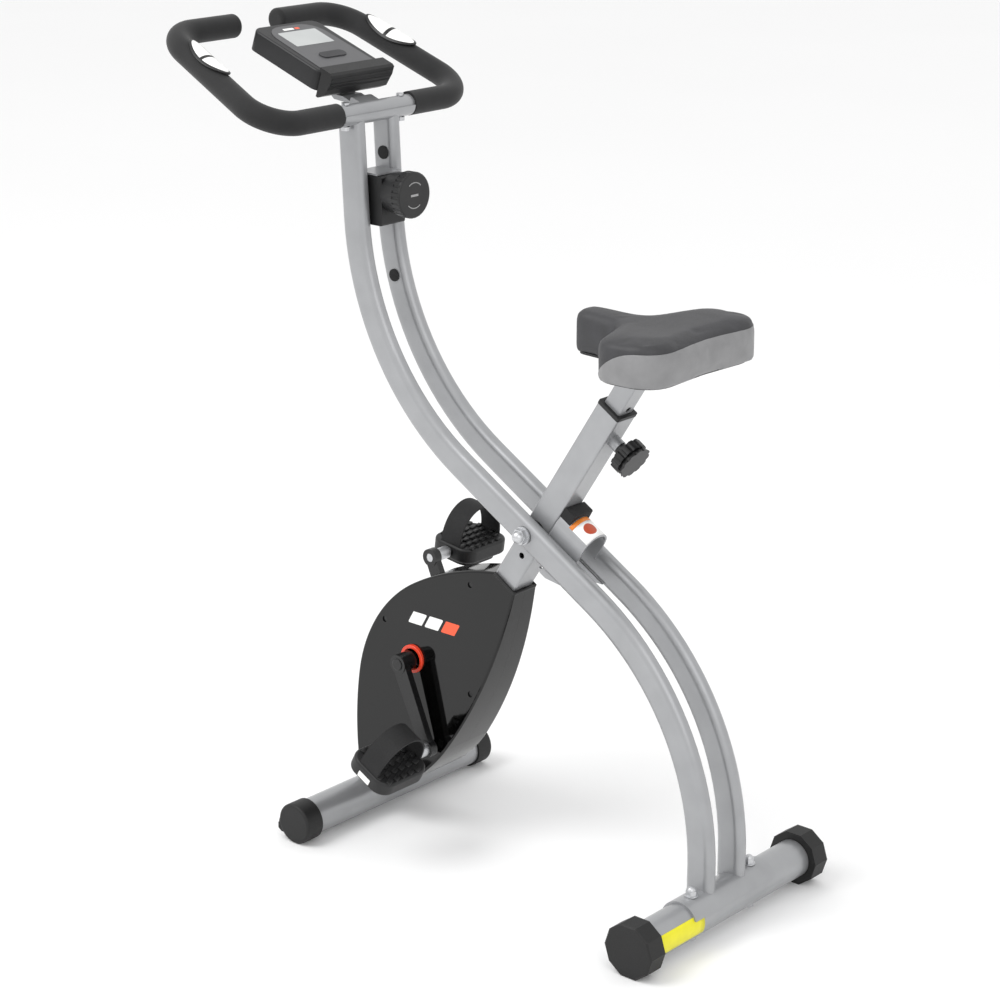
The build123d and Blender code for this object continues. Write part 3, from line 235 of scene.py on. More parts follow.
SILVER = silver_paint()
GLOSS = gloss_black()
PLASTIC = moulded_plastic("moulded_black_nylon", "#0C0C0D", "#131314")
CAP_PLASTIC = moulded_plastic("black_pvc_cap", "#070707", "#0B0B0C", rough=(0.5, 0.62))
KNOB_PLASTIC = moulded_plastic("black_knob_abs", "#101011", "#181819", rough=(0.36, 0.46))
CASE_PLASTIC = moulded_plastic("console_abs", "#101012", "#18181A", rough=(0.4, 0.5))
PANEL = flat_print("console_face_film", "#535355", 0.42)
KEY_RUBBER = moulded_plastic("key_silicone", "#333335", "#3B3B3D", rough=(0.6, 0.7))
FOAM = foam_rubber()
CUSHION_VINYL = grained_vinyl("charcoal_leathercloth", "#303032", "#37373A", 0.48)
SKIRT_VINYL = grained_vinyl("silver_leathercloth", "#7A7A7B", "#838384", 0.36)
ZINC = plated_steel(rough=0.4)
CHROME = plated_steel("chrome_plate", "#E4E5E7", 0.14)
MACHINED = plated_steel("machined_steel", "#A5A6A8", 0.34)
ARM_PAINT = moulded_plastic("black_enamel", "#080809", "#0E0E0F", rough=(0.25, 0.34))
IRON = turned_iron()
RUBBER = moulded_rubber()
ORANGE = flat_print("orange_polycarbonate", "#E8452A", 0.28)
WHITE_PRINT = flat_print("white_ink", "#F2F2F0")
ORANGE_PRINT = flat_print("orange_ink", "#EC5A35")
DIM_PRINT = flat_print("pale_grey_ink", "#9A9A9A")
WHITE_PLASTIC = moulded_plastic("white_abs", "#EDEDEB", "#F6F6F4", rough=(0.22, 0.3))
YELLOW_LABEL = flat_print("yellow_vinyl_label", "#E6DE14", 0.3)
AMBER_LABEL = flat_print("amber_label_band", "#D9791C", 0.35)
RED_LABEL = flat_print("red_label_disc", "#B24A2E", 0.35)
LCD = display_glass()

NODE_MATERIALS = [
    (SILVER, ["main_tube", "front_stabilizer", "rear_stabilizer", "mast_left", "mast_right",
              "mast_cross_members", "lock_cheeks", "rear_saddle", "handlebar_saddle", "handlebar_tube",
              "seat_post", "console_stay"]),
    (GLOSS, ["cover_left", "cover_right"]),
    (CAP_PLASTIC, ["front_end_caps", "levelling_cap_left", "levelling_cap_right"]),
    (RUBBER, ["transport_wheel_left", "transport_wheel_right", "rest_pad", "mast_grommets", "drive_belt",
              "pedal_strap_left", "pedal_strap_right"]),
    (PLASTIC, ["pedal_left", "pedal_right", "seat_bush", "seat_pan", "drive_pulley", "speed_sensor",
               "lock_pin", "tension_housing", "pivot_spacers", "phone_ledge"]),
    (KNOB_PLASTIC, ["seat_pin", "tension_knob"]),
    (ARM_PAINT, ["crank_arms", "crank_spindle", "cover_screws", "brake_shoe"]),
    (ZINC, ["pivot_bolt", "pivot_cap_nuts", "rear_bolts", "handlebar_bolts", "pedal_axles"]),
    (MACHINED, ["crank_bearings", "flywheel_bearings", "flywheel_axle", "brake_magnets"]),
    (IRON, ["flywheel_disc"]),
    (ORANGE, ["hub_rings"]),
    (FOAM, ["grip_left", "grip_right"]),
    (CASE_PLASTIC, ["console_body"]),
    (LCD, ["console_display"]),
    (KEY_RUBBER, ["console_button"]),
    (SKIRT_VINYL, ["seat_skirt"]),
    (CUSHION_VINYL, ["seat_cushion"]),
    (WHITE_PLASTIC, ["pulse_sensor_bases"]),
    (CHROME, ["pulse_sensor_plates"]),
]
for material, names in NODE_MATERIALS:
    for name in names:
        mesh = nodes[name].data
        mesh.materials.clear()
        mesh.materials.append(material)


# ---- mesh helpers -------------------------------------------------------------------------------
def piece(shape, name, material, body, turn=None, smooth=35):
    """Makes a bmesh a finished piece that rides on a body; turn places it in the bike."""
    if turn is not None:
        bmesh.ops.transform(shape, matrix=turn, verts=shape.verts)
    bmesh.ops.recalc_face_normals(shape, faces=shape.faces)
    mesh = bpy.data.meshes.new(name)
    shape.to_mesh(mesh)
    shape.free()
    mesh.materials.append(material)
    obj = bpy.data.objects.new(name, mesh)
    bpy.context.scene.collection.objects.link(obj)
    mesh.shade_smooth()
    mesh.set_sharp_from_angle(angle=radians(smooth))
    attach(obj, body)
    return obj


def bar(shape, size, at=(0, 0, 0), round_off=0.0, segments=2, turn=None):
    """Adds a block of the given size, its edges rounded, to shape."""
    place = Matrix.Translation(at) @ (turn or Matrix.Identity(4)) @ Matrix.Diagonal((*size, 1))
    made = bmesh.ops.create_cube(shape, size=1.0, matrix=place)["verts"]
    if round_off:
        edges = list({edge for vert in made for edge in vert.link_edges})
        bmesh.ops.bevel(shape, geom=edges, offset=round_off, segments=segments, profile=0.5,
                        affect="EDGES", material=-1)
    return made


def plan(shape, corners):
    """A flat face through corners (x, y, radius), each corner rounded."""
    verts = [shape.verts.new((x, y, 0)) for x, y, radius in corners]
    shape.faces.new(verts)
    ways = [Vector((x, y, 0)) for x, y, radius in corners]
    for k, vert in enumerate(verts):
        radius = corners[k][2]
        before, after = ways[k] - ways[k - 1], ways[(k + 1) % len(ways)] - ways[k]
        reach = radius * tan(before.angle(after) / 2)
        if reach > 0.0:
            bmesh.ops.bevel(shape, geom=[vert], offset=reach, segments=6, profile=0.5,
                            affect="VERTICES", material=-1)
    return shape.faces[:]


def round_patch(shape, cells):
    """A grid drawn in to a disc of radius 1, so that it can be bent smoothly."""
    bmesh.ops.create_grid(shape, x_segments=cells, y_segments=cells, size=1.0)
    for vert in shape.verts:
        u, v = vert.co.x, vert.co.y
        vert.co.x = u * (1 - v * v / 2) ** 0.5
        vert.co.y = v * (1 - u * u / 2) ** 0.5


def raise_up(shape, faces, height):
    """Extrudes flat faces upwards."""
    top = bmesh.ops.extrude_face_region(shape, geom=faces, use_keep_orig=True)["geom"]
    verts = [g for g in top if isinstance(g, bmesh.types.BMVert)]
    bmesh.ops.translate(shape, vec=(0, 0, height), verts=verts)
    return verts


# ---- saddle ---------------------------------------------------------------------------------------
SADDLE_CORNERS = [(0, 21, 18), (81, 28, 30), (115, 118, 34), (207, 114, 38)]
SADDLE_TAIL = (200, 0, 100)
NOSE_OUT = 2 * MM         # the cushion's nose ahead of the CAD's
BASE_DROP = 0.5 * MM      # its base below the skirt
CUSHION_RIM = 13 * MM
SKIN_CELL = 5 * MM
CUSHION_START_IN = 1.2 * MM
CROWN_ROOM = 3 * MM       # how far the top starts below its height, as room to swell
CUSHION_CAP = 2.5 * MM
PINNED = 4 * MM
SWELL_STEPS = 20
DIP = 3 * MM
DISH, DISH_HALF = 5 * MM, 70 * MM
CREASE, CREASE_REACH = 1.2 * MM, 5 * MM
PANEL_PROUD, PANEL_T = 0.9 * MM, 1.4 * MM
BOARD_T = 3 * MM
BOARD_SHARE = 0.93       # the board under the cushion stops short of its edge
SEAM_RISE = 42 * MM
SEAM_DROP = 6 * MM       # below the base at its front end
SEAM_BEND = 2.4
SEAM_FROM = 103 * MM     # behind the nose, where the grey panel starts
SEAM_RUN = 84 * MM


def seam_height(x, nose, low):
    """Height of the seam between the dark top and the grey rear panel."""
    share = min(max((x - nose - SEAM_FROM) / SEAM_RUN, 0.0), 1.0)
    return low - SEAM_DROP + (SEAM_RISE + SEAM_DROP) * (1 - (1 - share) ** SEAM_BEND)


def swell(obj, pin_below, cap):
    """Cloth under pressure: the skin fills out from its pinned base, no point further than cap."""
    start_at = [v.co.copy() for v in obj.data.vertices]
    pins = obj.vertex_groups.new(name="base")
    pins.add([v.index for v in obj.data.vertices if v.co.z < pin_below], 1.0, "REPLACE")
    cloth = obj.modifiers.new("cloth", "CLOTH")
    cloth.settings.quality = 6
    cloth.settings.mass = 0.3
    cloth.settings.tension_stiffness = 25
    cloth.settings.compression_stiffness = 25
    cloth.settings.bending_stiffness = 1.5
    cloth.settings.use_pressure = True
    cloth.settings.uniform_pressure_force = 4
    cloth.settings.effector_weights.gravity = 0
    cloth.settings.vertex_group_mass = pins.name
    cloth.point_cache.frame_start = 1
    cloth.point_cache.frame_end = SWELL_STEPS
    for step in range(1, SWELL_STEPS + 1):
        bpy.context.scene.frame_set(step)
    settled = obj.evaluated_get(bpy.context.evaluated_depsgraph_get()).to_mesh()
    moved = [v.co.copy() for v in settled.vertices]
    obj.modifiers.remove(cloth)
    obj.vertex_groups.remove(pins)
    bpy.context.scene.frame_set(1)
    for vert, was, now in zip(obj.data.vertices, start_at, moved):
        shift = now - was
        if shift.length > cap:
            shift.length = cap
        vert.co = was + shift


def saddle():
    low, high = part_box("seat_cushion")
    low.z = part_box("seat_skirt")[0].z - BASE_DROP
    nose, height = low.x - NOSE_OUT, high.z - low.z
    shape = bmesh.new()
    half = [(x * MM, y * MM, r * MM) for x, y, r in SADDLE_CORNERS]
    tail = tuple(s * MM for s in SADDLE_TAIL)
    plan(shape, half + [tail] + [(x, -y, r) for x, y, r in reversed(half)])
    raise_up(shape, shape.faces[:], height)
    bmesh.ops.recalc_face_normals(shape, faces=shape.faces)
    rim = [e for e in shape.edges if all(v.co.z > height / 2 for v in e.verts)]
    bmesh.ops.bevel(shape, geom=rim, offset=CUSHION_RIM, segments=5, profile=0.5,
                    affect="EDGES", material=-1)
    bmesh.ops.translate(shape, vec=(nose, 0, low.z), verts=shape.verts)
    cushion = piece(shape, "saddle_cushion", CUSHION_VINYL, "seat")
    remesh = cushion.modifiers.new("remesh", "REMESH")
    remesh.mode = "VOXEL"
    remesh.voxel_size = SKIN_CELL
    fine = bpy.data.meshes.new_from_object(cushion.evaluated_get(bpy.context.evaluated_depsgraph_get()))
    cushion.modifiers.remove(remesh)
    cushion.data = fine
    fine.materials.clear()
    fine.materials.append(CUSHION_VINYL)
    middle = Vector(((low.x + high.x) / 2, 0, (low.z + high.z) / 2))
    for vert in fine.vertices:
        inward = (middle - vert.co) * Vector((1, 1, 0))
        if inward.length > 0:
            inward.length = min(CUSHION_START_IN, inward.length)
        vert.co += inward
        if vert.co.z > low.z + height / 2:
            vert.co.z -= CROWN_ROOM
    swell(cushion, low.z + PINNED, CUSHION_CAP)
    # the top dips across the waist and the rear is dished between the sit bones
    for vert in fine.vertices:
        lift = max(0.0, (vert.co.z - low.z) / height)
        along = (vert.co.x - nose) / (high.x - nose)
        dip = DIP * sin(pi * min(max(along, 0.0), 1.0)) ** 2 * (1 - along * 0.5)
        dish = DISH * max(0.0, along - 0.35) * max(0.0, 1 - (vert.co.y / DISH_HALF) ** 2)
        vert.co.z -= (dip + dish) * lift ** 2
        gap = vert.co.z - seam_height(vert.co.x, nose, low.z)
        if abs(gap) < CREASE_REACH and vert.co.x > nose + SEAM_FROM:
            inward = (middle - vert.co) * Vector((1, 1, 0))
            inward.length = (1 - abs(gap) / CREASE_REACH) * CREASE
            vert.co += inward
    smooth = cushion.modifiers.new("subdivision", "SUBSURF")
    smooth.levels = 1
    smooth.render_levels = 1
    fine.shade_smooth()
    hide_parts("seat_cushion")
    saddle_panel(cushion, nose, low.z)
    saddle_board(nose, low.z)


def saddle_board(nose, low):
    """Moulded board under the cushion, set in from its edge and thinner than the frame's seat pan."""
    middle = (SADDLE_CORNERS[-1][0] + SADDLE_CORNERS[0][0]) / 2
    half = [((middle + (x - middle) * BOARD_SHARE) * MM, y * BOARD_SHARE * MM, r * BOARD_SHARE * MM)
            for x, y, r in SADDLE_CORNERS]
    tail = ((middle + (SADDLE_TAIL[0] - middle) * BOARD_SHARE) * MM, 0, SADDLE_TAIL[2] * MM)
    shape = bmesh.new()
    plan(shape, half + [tail] + [(x, -y, r) for x, y, r in reversed(half)])
    raise_up(shape, shape.faces[:], BOARD_T)
    bmesh.ops.translate(shape, vec=(nose, 0, low - BOARD_T + BASE_DROP), verts=shape.verts)
    board = piece(shape, "saddle_board", PLASTIC, "seat")
    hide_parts("seat_pan")


def saddle_panel(cushion, nose, low):
    """Grey panel over the rear and sides: the cushion's own skin below the seam, a little proud."""
    skin = bpy.data.meshes.new_from_object(cushion.evaluated_get(bpy.context.evaluated_depsgraph_get()))
    shape = bmesh.new()
    shape.from_mesh(skin)
    for vert in shape.verts:
        vert.co.z -= seam_height(vert.co.x, nose, low)
    bmesh.ops.bisect_plane(shape, geom=shape.verts[:] + shape.edges[:] + shape.faces[:],
                           plane_co=(0, 0, 0), plane_no=(0, 0, 1), clear_outer=True)
    for vert in shape.verts:
        vert.co.z += seam_height(vert.co.x, nose, low)
    under = [f for f in shape.faces if f.normal.z < -0.8 or f.calc_center_median().x < nose + SEAM_FROM]
    bmesh.ops.delete(shape, geom=under, context="FACES")
    normals = {vert: vert.normal.copy() for vert in shape.verts}
    for vert, normal in normals.items():
        vert.co += normal * PANEL_PROUD
    obj = piece(shape, "saddle_rear_panel", SKIRT_VINYL, "seat", smooth=60)
    wall = obj.modifiers.new("thickness", "SOLIDIFY")
    wall.thickness = PANEL_T
    wall.offset = -1
    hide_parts("seat_skirt")


# ---- pulse sensors ----------------------------------------------------------------------------------
GRIP_R = 16.2 * MM
BAR_R = 12.7 * MM
BAR_TILT = radians(23.3)
SIDE_RUN, SIDE_SPLAY, SIDE_Y = 238.6, 31.0, 192 * MM   # the bar's side run, and its rear end's place
SENSOR_FROM, SENSOR_TO = 103 * MM, 191 * MM            # along that run
SENSOR_L = 90 * MM
SENSOR_SPREAD = 52       # degrees each way round the grip
SENSOR_TURN = radians(8)  # from square to the bar's plane towards the middle


def sensor_shell(name, material, side, length, spread, radius, thick, cut=None):
    """A lens-shaped patch wrapped on the grip; cut keeps only one half of it."""
    shape = bmesh.new()
    round_patch(shape, 24)
    if cut:
        geom = shape.verts[:] + shape.edges[:] + shape.faces[:]
        bmesh.ops.bisect_plane(shape, geom=geom, plane_co=(cut * 0.07, 0, 0), plane_no=(-cut, 0, 0),
                               clear_outer=True)
    low, high = sensor_span(side)
    axis = (high - low).normalized()
    off_face = Vector((sin(BAR_TILT), 0, cos(BAR_TILT)))
    inward = off_face.cross(axis)
    if inward.y * side > 0:
        inward = -inward
    outward = (off_face * cos(SENSOR_TURN) + inward * sin(SENSOR_TURN)).normalized()
    across = axis.cross(outward)
    middle = (low + high) / 2
    for vert in shape.verts:
        # pointed ends: the patch narrows faster than an ellipse towards its tips
        narrow = 1 - 0.25 * vert.co.x ** 2
        turn = radians(spread) * vert.co.y * narrow
        spoke = outward * cos(turn) + across * sin(turn)
        vert.co = middle + axis * (vert.co.x * length / 2) + spoke * radius
    obj = piece(shape, name, material, "mast_frame", smooth=60)
    wall = obj.modifiers.new("thickness", "SOLIDIFY")
    wall.thickness = thick
    wall.offset = -1
    edge = obj.modifiers.new("soft_edge", "BEVEL")
    edge.width = 0.7 * MM
    edge.segments = 2
    return obj


def sensor_span(side):
    """The two ends of a pulse sensor on the axis of the handlebar's side run."""
    low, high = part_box("handlebar_tube")
    rear = Vector((high.x - BAR_R, side * SIDE_Y, low.z + BAR_R))
    slope = Vector((-cos(BAR_TILT) * SIDE_RUN, -side * SIDE_SPLAY, sin(BAR_TILT) * SIDE_RUN)) / SIDE_RUN
    return rear + slope * SENSOR_FROM, rear + slope * SENSOR_TO


def pulse_sensors():
    for side, word in ((-1, "left"), (1, "right")):
        base = sensor_shell(f"pulse_frame_{word}", KNOB_PLASTIC, side, SENSOR_L, SENSOR_SPREAD,
                            GRIP_R + 2.4 * MM, 2.2 * MM)
        if side < 0:
            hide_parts("pulse_sensor_bases")
        for cut, end in ((1, "front"), (-1, "rear")):
            plate = sensor_shell(f"pulse_plate_{word}_{end}", WHITE_PLASTIC, side, SENSOR_L - 8 * MM,
                                 SENSOR_SPREAD - 11, GRIP_R + 3.3 * MM, 1.6 * MM, cut)
            if side < 0 and cut > 0:
                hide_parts("pulse_sensor_plates")


# ---- pedals ---------------------------------------------------------------------------------------
PEDAL_W, PEDAL_T = 92 * MM, 22 * MM
PEDALS = (("left_pedal", "left_pedal_spin", -1, 28),   # body, joint, side, degrees of pitch
          ("right_pedal", "right_pedal_spin", 1, 8))
UNDERBODY = ((-27, -34), (27, -34), (27, 34), (-27, 34))


def pedals():
    for body, joint, side, pitch in PEDALS:
        place = Matrix.Translation(joints[joint]["pos_m"]) @ Matrix.Rotation(radians(pitch), 4, "Y")
        tread = bmesh.new()
        for row in range(6):
            for column in range(6):
                x = (-30 + 12 * row) * MM
                y = (-34 + 13.6 * column + (3.4 if row % 2 else -3.4)) * MM
                if abs(x) < 19 * MM and abs(y) > 40 * MM:
                    continue
                if (abs(x) / (35 * MM)) ** 4 + (abs(y) / (43 * MM)) ** 4 > 1.05:
                    continue
                bar(tread, (6.4 * MM, 10.8 * MM, 3.4 * MM), (x, y, PEDAL_T / 2 + 0.7 * MM), 1.2 * MM,
                    turn=Matrix.Rotation(radians(18), 4, "Z"))
        blocks = piece(tread, f"{body}_tread", PLASTIC, body, place)
        glint = bmesh.new()
        bar(glint, (22 * MM, 2.4 * MM, 9 * MM), (0, side * (PEDAL_W / 2 - 0.4 * MM), -3 * MM), 1.0 * MM)
        reflector = piece(glint, f"{body}_reflectors", WHITE_PLASTIC, body, place)
        under = bmesh.new()
        raise_up(under, plan(under, [(x * MM, y * MM, 18 * MM) for x, y in UNDERBODY]), -9 * MM)
        bmesh.ops.translate(under, vec=(0, 0, -PEDAL_T / 2 + 0.5 * MM), verts=under.verts)
        skirt = piece(under, f"{body}_underbody", PLASTIC, body, place)


# ---- labels and decals ------------------------------------------------------------------------------
COVER_TOP_HALF, COVER_TOP_Z, CRANK_Z = 23, 385, 249   # mm: the cover is narrowest at its top
COVER_SLOPE = 0.0865
BRIDGE_SLOPE = radians(31)
BRIDGE_CROWN = (45.3 / 2 - 0.02) * MM
BRIDGE_UP = 34 * MM


def cover_face(side):
    """Matrix from a flat drawing (x back, y up) to the outer face of the cover on that side."""
    crank = Vector(joints["crank_spin"]["pos_m"])
    half = (COVER_TOP_HALF + (COVER_TOP_Z - CRANK_Z) * COVER_SLOPE) * MM
    lean = atan(COVER_SLOPE)
    x_dir = Vector((1, 0, 0)) if side < 0 else Vector((-1, 0, 0))
    up = Vector((0, -side * sin(lean), cos(lean)))
    out = x_dir.cross(up)
    turn = Matrix((x_dir, up, out)).transposed().to_4x4()
    return Matrix.Translation((crank.x, side * half, crank.z)) @ turn


def cover_marks():
    for side, word in ((-1, "left"), (1, "right")):
        place = cover_face(side)
        for k, material in enumerate((WHITE_PRINT, WHITE_PRINT, ORANGE_PRINT)):
            flip = 1 if side < 0 else -1
            shape = bmesh.new()
            x = flip * (-12 + 30 * k) * MM
            slant = flip * 9 * MM
            low, wide, tall = 50 * MM, 25 * MM, 17 * MM
            across = flip * wide
            top = low + tall
            corners = [(x, low), (x + across, low), (x + across + slant, top), (x + slant, top)]
            raise_up(shape, plan(shape, [(cx, cy, 1.5 * MM) for cx, cy in corners]), 0.25 * MM)
            bmesh.ops.translate(shape, vec=(0, 0, 0.02 * MM), verts=shape.verts)
            mark = piece(shape, f"cover_mark_{word}_{k + 1}", material, "main_frame", place)


def wrapped_label(name, material, axis_at, radius, y0, y1, angle0, angle1, body):
    """A label wrapped on a tube that lies across the bike; angles are degrees above the rear."""
    shape = bmesh.new()
    bmesh.ops.create_grid(shape, x_segments=8, y_segments=12, size=1.0)
    for vert in shape.verts:
        turn = radians(angle0 + (angle1 - angle0) * (vert.co.y + 1) / 2)
        y = y0 + (y1 - y0) * (vert.co.x + 1) / 2
        vert.co = Vector((axis_at[0] + radius * cos(turn), y, axis_at[1] + radius * sin(turn)))
    obj = piece(shape, name, material, body, smooth=60)
    wall = obj.modifiers.new("thickness", "SOLIDIFY")
    wall.thickness = 0.3 * MM
    wall.offset = 1


def rear_label():
    low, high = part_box("rear_stabilizer")
    axis_at = ((low.x + high.x) / 2, (low.z + high.z) / 2)
    radius = (high.x - low.x) / 2 + 0.05 * MM
    wrapped_label("foot_label", YELLOW_LABEL, axis_at, radius, -160 * MM, -66 * MM, -28, 34,
                  "mast_frame")


def bridge_label():
    """Plain label over the crown of the arched bridge: amber band, white field, red disc."""
    pivot = Vector(joints["fold"]["pos_m"])
    along = Vector((cos(BRIDGE_SLOPE), 0, -sin(BRIDGE_SLOPE)))
    up = Vector((sin(BRIDGE_SLOPE), 0, cos(BRIDGE_SLOPE)))

    def wrapped(s, turn, r):
        return pivot + along * s + up * (BRIDGE_UP + r * cos(turn)) + Vector((0, r * sin(turn), 0))

    def patch(name, material, s0, s1, a0, a1, lift):
        shape = bmesh.new()
        bmesh.ops.create_grid(shape, x_segments=4, y_segments=16, size=1.0)
        for vert in shape.verts:
            s = s0 + (s1 - s0) * (vert.co.x + 1) / 2
            turn = radians(a0 + (a1 - a0) * (vert.co.y + 1) / 2)
            vert.co = wrapped(s, turn, BRIDGE_CROWN + lift)
        obj = piece(shape, name, material, "mast_frame", smooth=60)
        wall = obj.modifiers.new("thickness", "SOLIDIFY")
        wall.thickness = 0.25 * MM
        wall.offset = 1

    patch("bridge_label_field", WHITE_PRINT, 47 * MM, 75 * MM, -62, 40, 0.05 * MM)
    patch("bridge_label_band", AMBER_LABEL, 40.5 * MM, 46.8 * MM, -62, 40, 0.05 * MM)
    shape = bmesh.new()
    round_patch(shape, 12)
    for vert in shape.verts:
        s = 60 * MM + vert.co.x * 9 * MM
        r = BRIDGE_CROWN + 0.42 * MM
        turn = radians(-12) + vert.co.y * 9 * MM / r
        vert.co = wrapped(s, turn, r)
    dot = piece(shape, "bridge_label_disc", RED_LABEL, "mast_frame", smooth=60)


KNOB_ARC_R = 17 * MM


def knob_marks():
    """Two thin arcs and a bar on the face of the tension knob."""
    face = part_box("tension_knob")[1].x
    centre = Vector(joints["tension_turn"]["pos_m"])
    upright = Matrix(((0, 0, 1), (1, 0, 0), (0, 1, 0))).to_4x4()
    to_face = Matrix.Translation((face, 0, centre.z)) @ upright
    shape = bmesh.new()
    bar(shape, (14 * MM, 3 * MM, 0.4 * MM), (0, 0, 0.1 * MM), 0.1 * MM)
    for a0 in (50, 230):
        for k in range(10):
            turn = radians(a0 + 8 * k)
            place = (KNOB_ARC_R * cos(turn), KNOB_ARC_R * sin(turn), 0.1 * MM)
            bar(shape, (1.3 * MM, 2.8 * MM, 0.4 * MM), place, 0.1 * MM, turn=Matrix.Rotation(turn, 4, "Z"))
    marks = piece(shape, "tension_knob_marks", DIM_PRINT, "tension_dial", to_face)


# ---- console ----------------------------------------------------------------------------------------
CONSOLE_TILT = radians(19.9)
CONSOLE_L, CONSOLE_W, CONSOLE_T = 137 * MM, 118 * MM, 28 * MM
LCD_AT, LCD_L, LCD_W = 92 * MM, 40 * MM, 70 * MM
KEY_AT, KEY_L, KEY_W = 40 * MM, 15 * MM, 46 * MM
MARK_AT = 119 * MM


def console_face():
    """Matrix from a flat drawing (x forward, y to the left, z off the face) to the console's face."""
    low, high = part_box("console_body")
    forward = Vector((-cos(CONSOLE_TILT), 0, sin(CONSOLE_TILT)))
    normal = Vector((sin(CONSOLE_TILT), 0, cos(CONSOLE_TILT)))
    near_edge = Vector((low.x, 0, low.z)) - forward * CONSOLE_L + normal * CONSOLE_T
    turn = Matrix((forward, normal.cross(forward), normal)).transposed().to_4x4()
    return Matrix.Translation((near_edge.x, 0, low.z + CONSOLE_T * cos(CONSOLE_TILT))) @ turn


def face_plate(name, material, corners, bottom, top, body="mast_frame"):
    """A rounded flat plate on the console's face, between two heights off it."""
    shape = bmesh.new()
    raise_up(shape, plan(shape, corners), top - bottom)
    bmesh.ops.translate(shape, vec=(0, 0, bottom), verts=shape.verts)
    obj = piece(shape, name, material, body, console_face(), smooth=50)
    edge = obj.modifiers.new("soft_edge", "BEVEL")
    edge.width = 0.12 * MM
    edge.limit_method = "ANGLE"
    return obj


def oblong(x, y, length, width, radius):
    """Corners of a rounded rectangle about (x, y), for plan()."""
    signs = ((-1, -1), (1, -1), (1, 1), (-1, 1))
    return [(x + sx * length / 2, y + sy * width / 2, radius) for sx, sy in signs]


def console_details():
    face_plate("console_face_panel", PANEL,
               [(6 * MM, -50 * MM, 5 * MM), (129 * MM, -46 * MM, 30 * MM), (129 * MM, 46 * MM, 30 * MM),
                (6 * MM, 50 * MM, 5 * MM)], 0.02 * MM, 0.6 * MM)
    window = face_plate("console_window", LCD, oblong(LCD_AT, 0, LCD_L, LCD_W, 2 * MM),
                        0.5 * MM, 0.9 * MM)
    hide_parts("console_display")
    key = face_plate("console_key", KEY_RUBBER, oblong(KEY_AT, 0, KEY_L, KEY_W, 7.4 * MM),
                     -2 * MM, 2.2 * MM, "console_key")
    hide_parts("console_button")
    face_plate("console_mark_white", WHITE_PRINT, oblong(MARK_AT, 8 * MM, 5 * MM, 19 * MM, 1.2 * MM),
               0.5 * MM, 0.75 * MM)
    face_plate("console_mark_orange", ORANGE_PRINT, oblong(MARK_AT, -8 * MM, 5 * MM, 8 * MM, 1.2 * MM),
               0.5 * MM, 0.75 * MM)
    place = console_face()
    ribs = bmesh.new()
    for x, z in ((-19, -2), (-18.2, -10), (-16.6, -16)):
        bar(ribs, (1.6 * MM, CONSOLE_W - 5 * MM, 2.6 * MM), (x * MM, 0, z * MM), 0.6 * MM)
    ridges = piece(ribs, "phone_ledge_ribs", PLASTIC, "mast_frame", place)


# ---- cover trim and cap faces -----------------------------------------------------------------------
COLLAR_FROM, COLLAR_TO = (-68, 403), (-33, 381)      # the cover's top edge, from the fold bolt's x


def cover_collar():
    """Rolled lip of the cover round the main tube."""
    pivot = Vector(joints["fold"]["pos_m"])
    ends = [Vector((pivot.x + x * MM, 0, z * MM)) for x, z in (COLLAR_FROM, COLLAR_TO)]
    along = (ends[1] - ends[0]).normalized()
    up = Vector((0, 1, 0)).cross(along)
    if up.z < 0:
        up = -up
    turn = Matrix((along, up.cross(along), up)).transposed().to_4x4()
    place = Matrix.Translation((ends[0] + ends[1]) / 2) @ turn
    run = (ends[1] - ends[0]).length
    lip = bmesh.new()
    for side in (-1, 1):
        bar(lip, (run, 3.2 * MM, 5 * MM), (0, side * 22 * MM, -1 * MM), 1.2 * MM, 3)
    bar(lip, (3.2 * MM, 44 * MM, 5 * MM), (run / 2 - 0.6 * MM, 0, -1 * MM), 1.2 * MM, 3)
    collar = piece(lip, "cover_collar", PLASTIC, "main_frame", place)


saddle()
pulse_sensors()
pedals()
cover_marks()
rear_label()
bridge_label()
knob_marks()
console_details()
cover_collar()

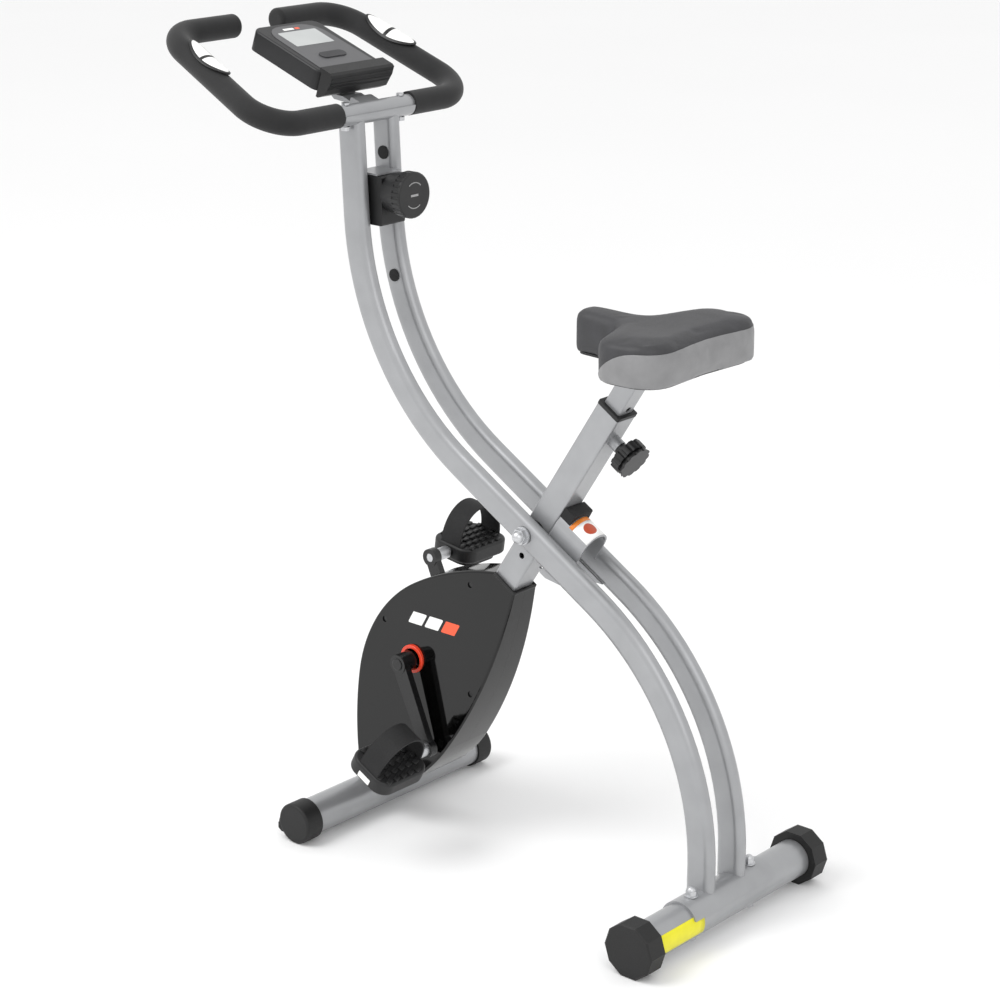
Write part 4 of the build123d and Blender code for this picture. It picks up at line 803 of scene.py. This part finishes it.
# ---- stage ----------------------------------------------------------------------------------------
FLOOR_HALF = 12.0


def floor():
    shape = bmesh.new()
    bmesh.ops.create_grid(shape, x_segments=1, y_segments=1, size=FLOOR_HALF)
    mesh = bpy.data.meshes.new("studio_floor")
    shape.to_mesh(mesh)
    shape.free()
    obj = bpy.data.objects.new("studio_floor", mesh)
    bpy.context.scene.collection.objects.link(obj)
    material, tree, shader, place = start("studio_paper")
    vary(tree, shader, "Base Color", grain(tree, place, 2.0),
         [(0.3, srgb("#F6F6F6")), (0.7, srgb("#F8F8F8"))])
    shader.inputs["Roughness"].default_value = 0.9
    mesh.materials.append(material)


def soft_light(name, place, target, size, power):
    lamp = bpy.data.lights.new(name, "AREA")
    lamp.shape = "DISK"
    lamp.size = size
    lamp.energy = power
    obj = bpy.data.objects.new(name, lamp)
    obj.location = place
    obj.rotation_euler = (Vector(target) - Vector(place)).to_track_quat("-Z", "Y").to_euler()
    bpy.context.scene.collection.objects.link(obj)


def studio():
    floor()
    world = bpy.data.worlds.new("studio_white")
    world.use_nodes = True
    world.node_tree.nodes["Background"].inputs["Color"].default_value = (1, 1, 1, 1)
    world.node_tree.nodes["Background"].inputs["Strength"].default_value = 1.0
    bpy.context.scene.world = world
    middle = (0, 0, 0.55)
    soft_light("key_light", (-1.2, -2.2, 3.4), middle, 2.2, 60)
    soft_light("fill_light", (2.6, -1.6, 2.2), middle, 2.6, 18)


CAMERA_AT = (2.1821, -2.4747, 1.5638)
CAMERA_ROUND, CAMERA_DOWN = 41.1, 18.0
CAMERA_LENS = 93.9


def camera():
    """A long lens looking down on the bike from its rear left."""
    lens = bpy.data.cameras.new("camera")
    lens.lens = CAMERA_LENS
    lens.sensor_width = 36
    obj = bpy.data.objects.new("camera", lens)
    obj.location = CAMERA_AT
    obj.rotation_euler = (radians(90 - CAMERA_DOWN), 0, radians(CAMERA_ROUND))
    bpy.context.scene.collection.objects.link(obj)
    bpy.context.scene.camera = obj


studio()
camera()
bpy.context.scene.view_settings.view_transform = "Standard"
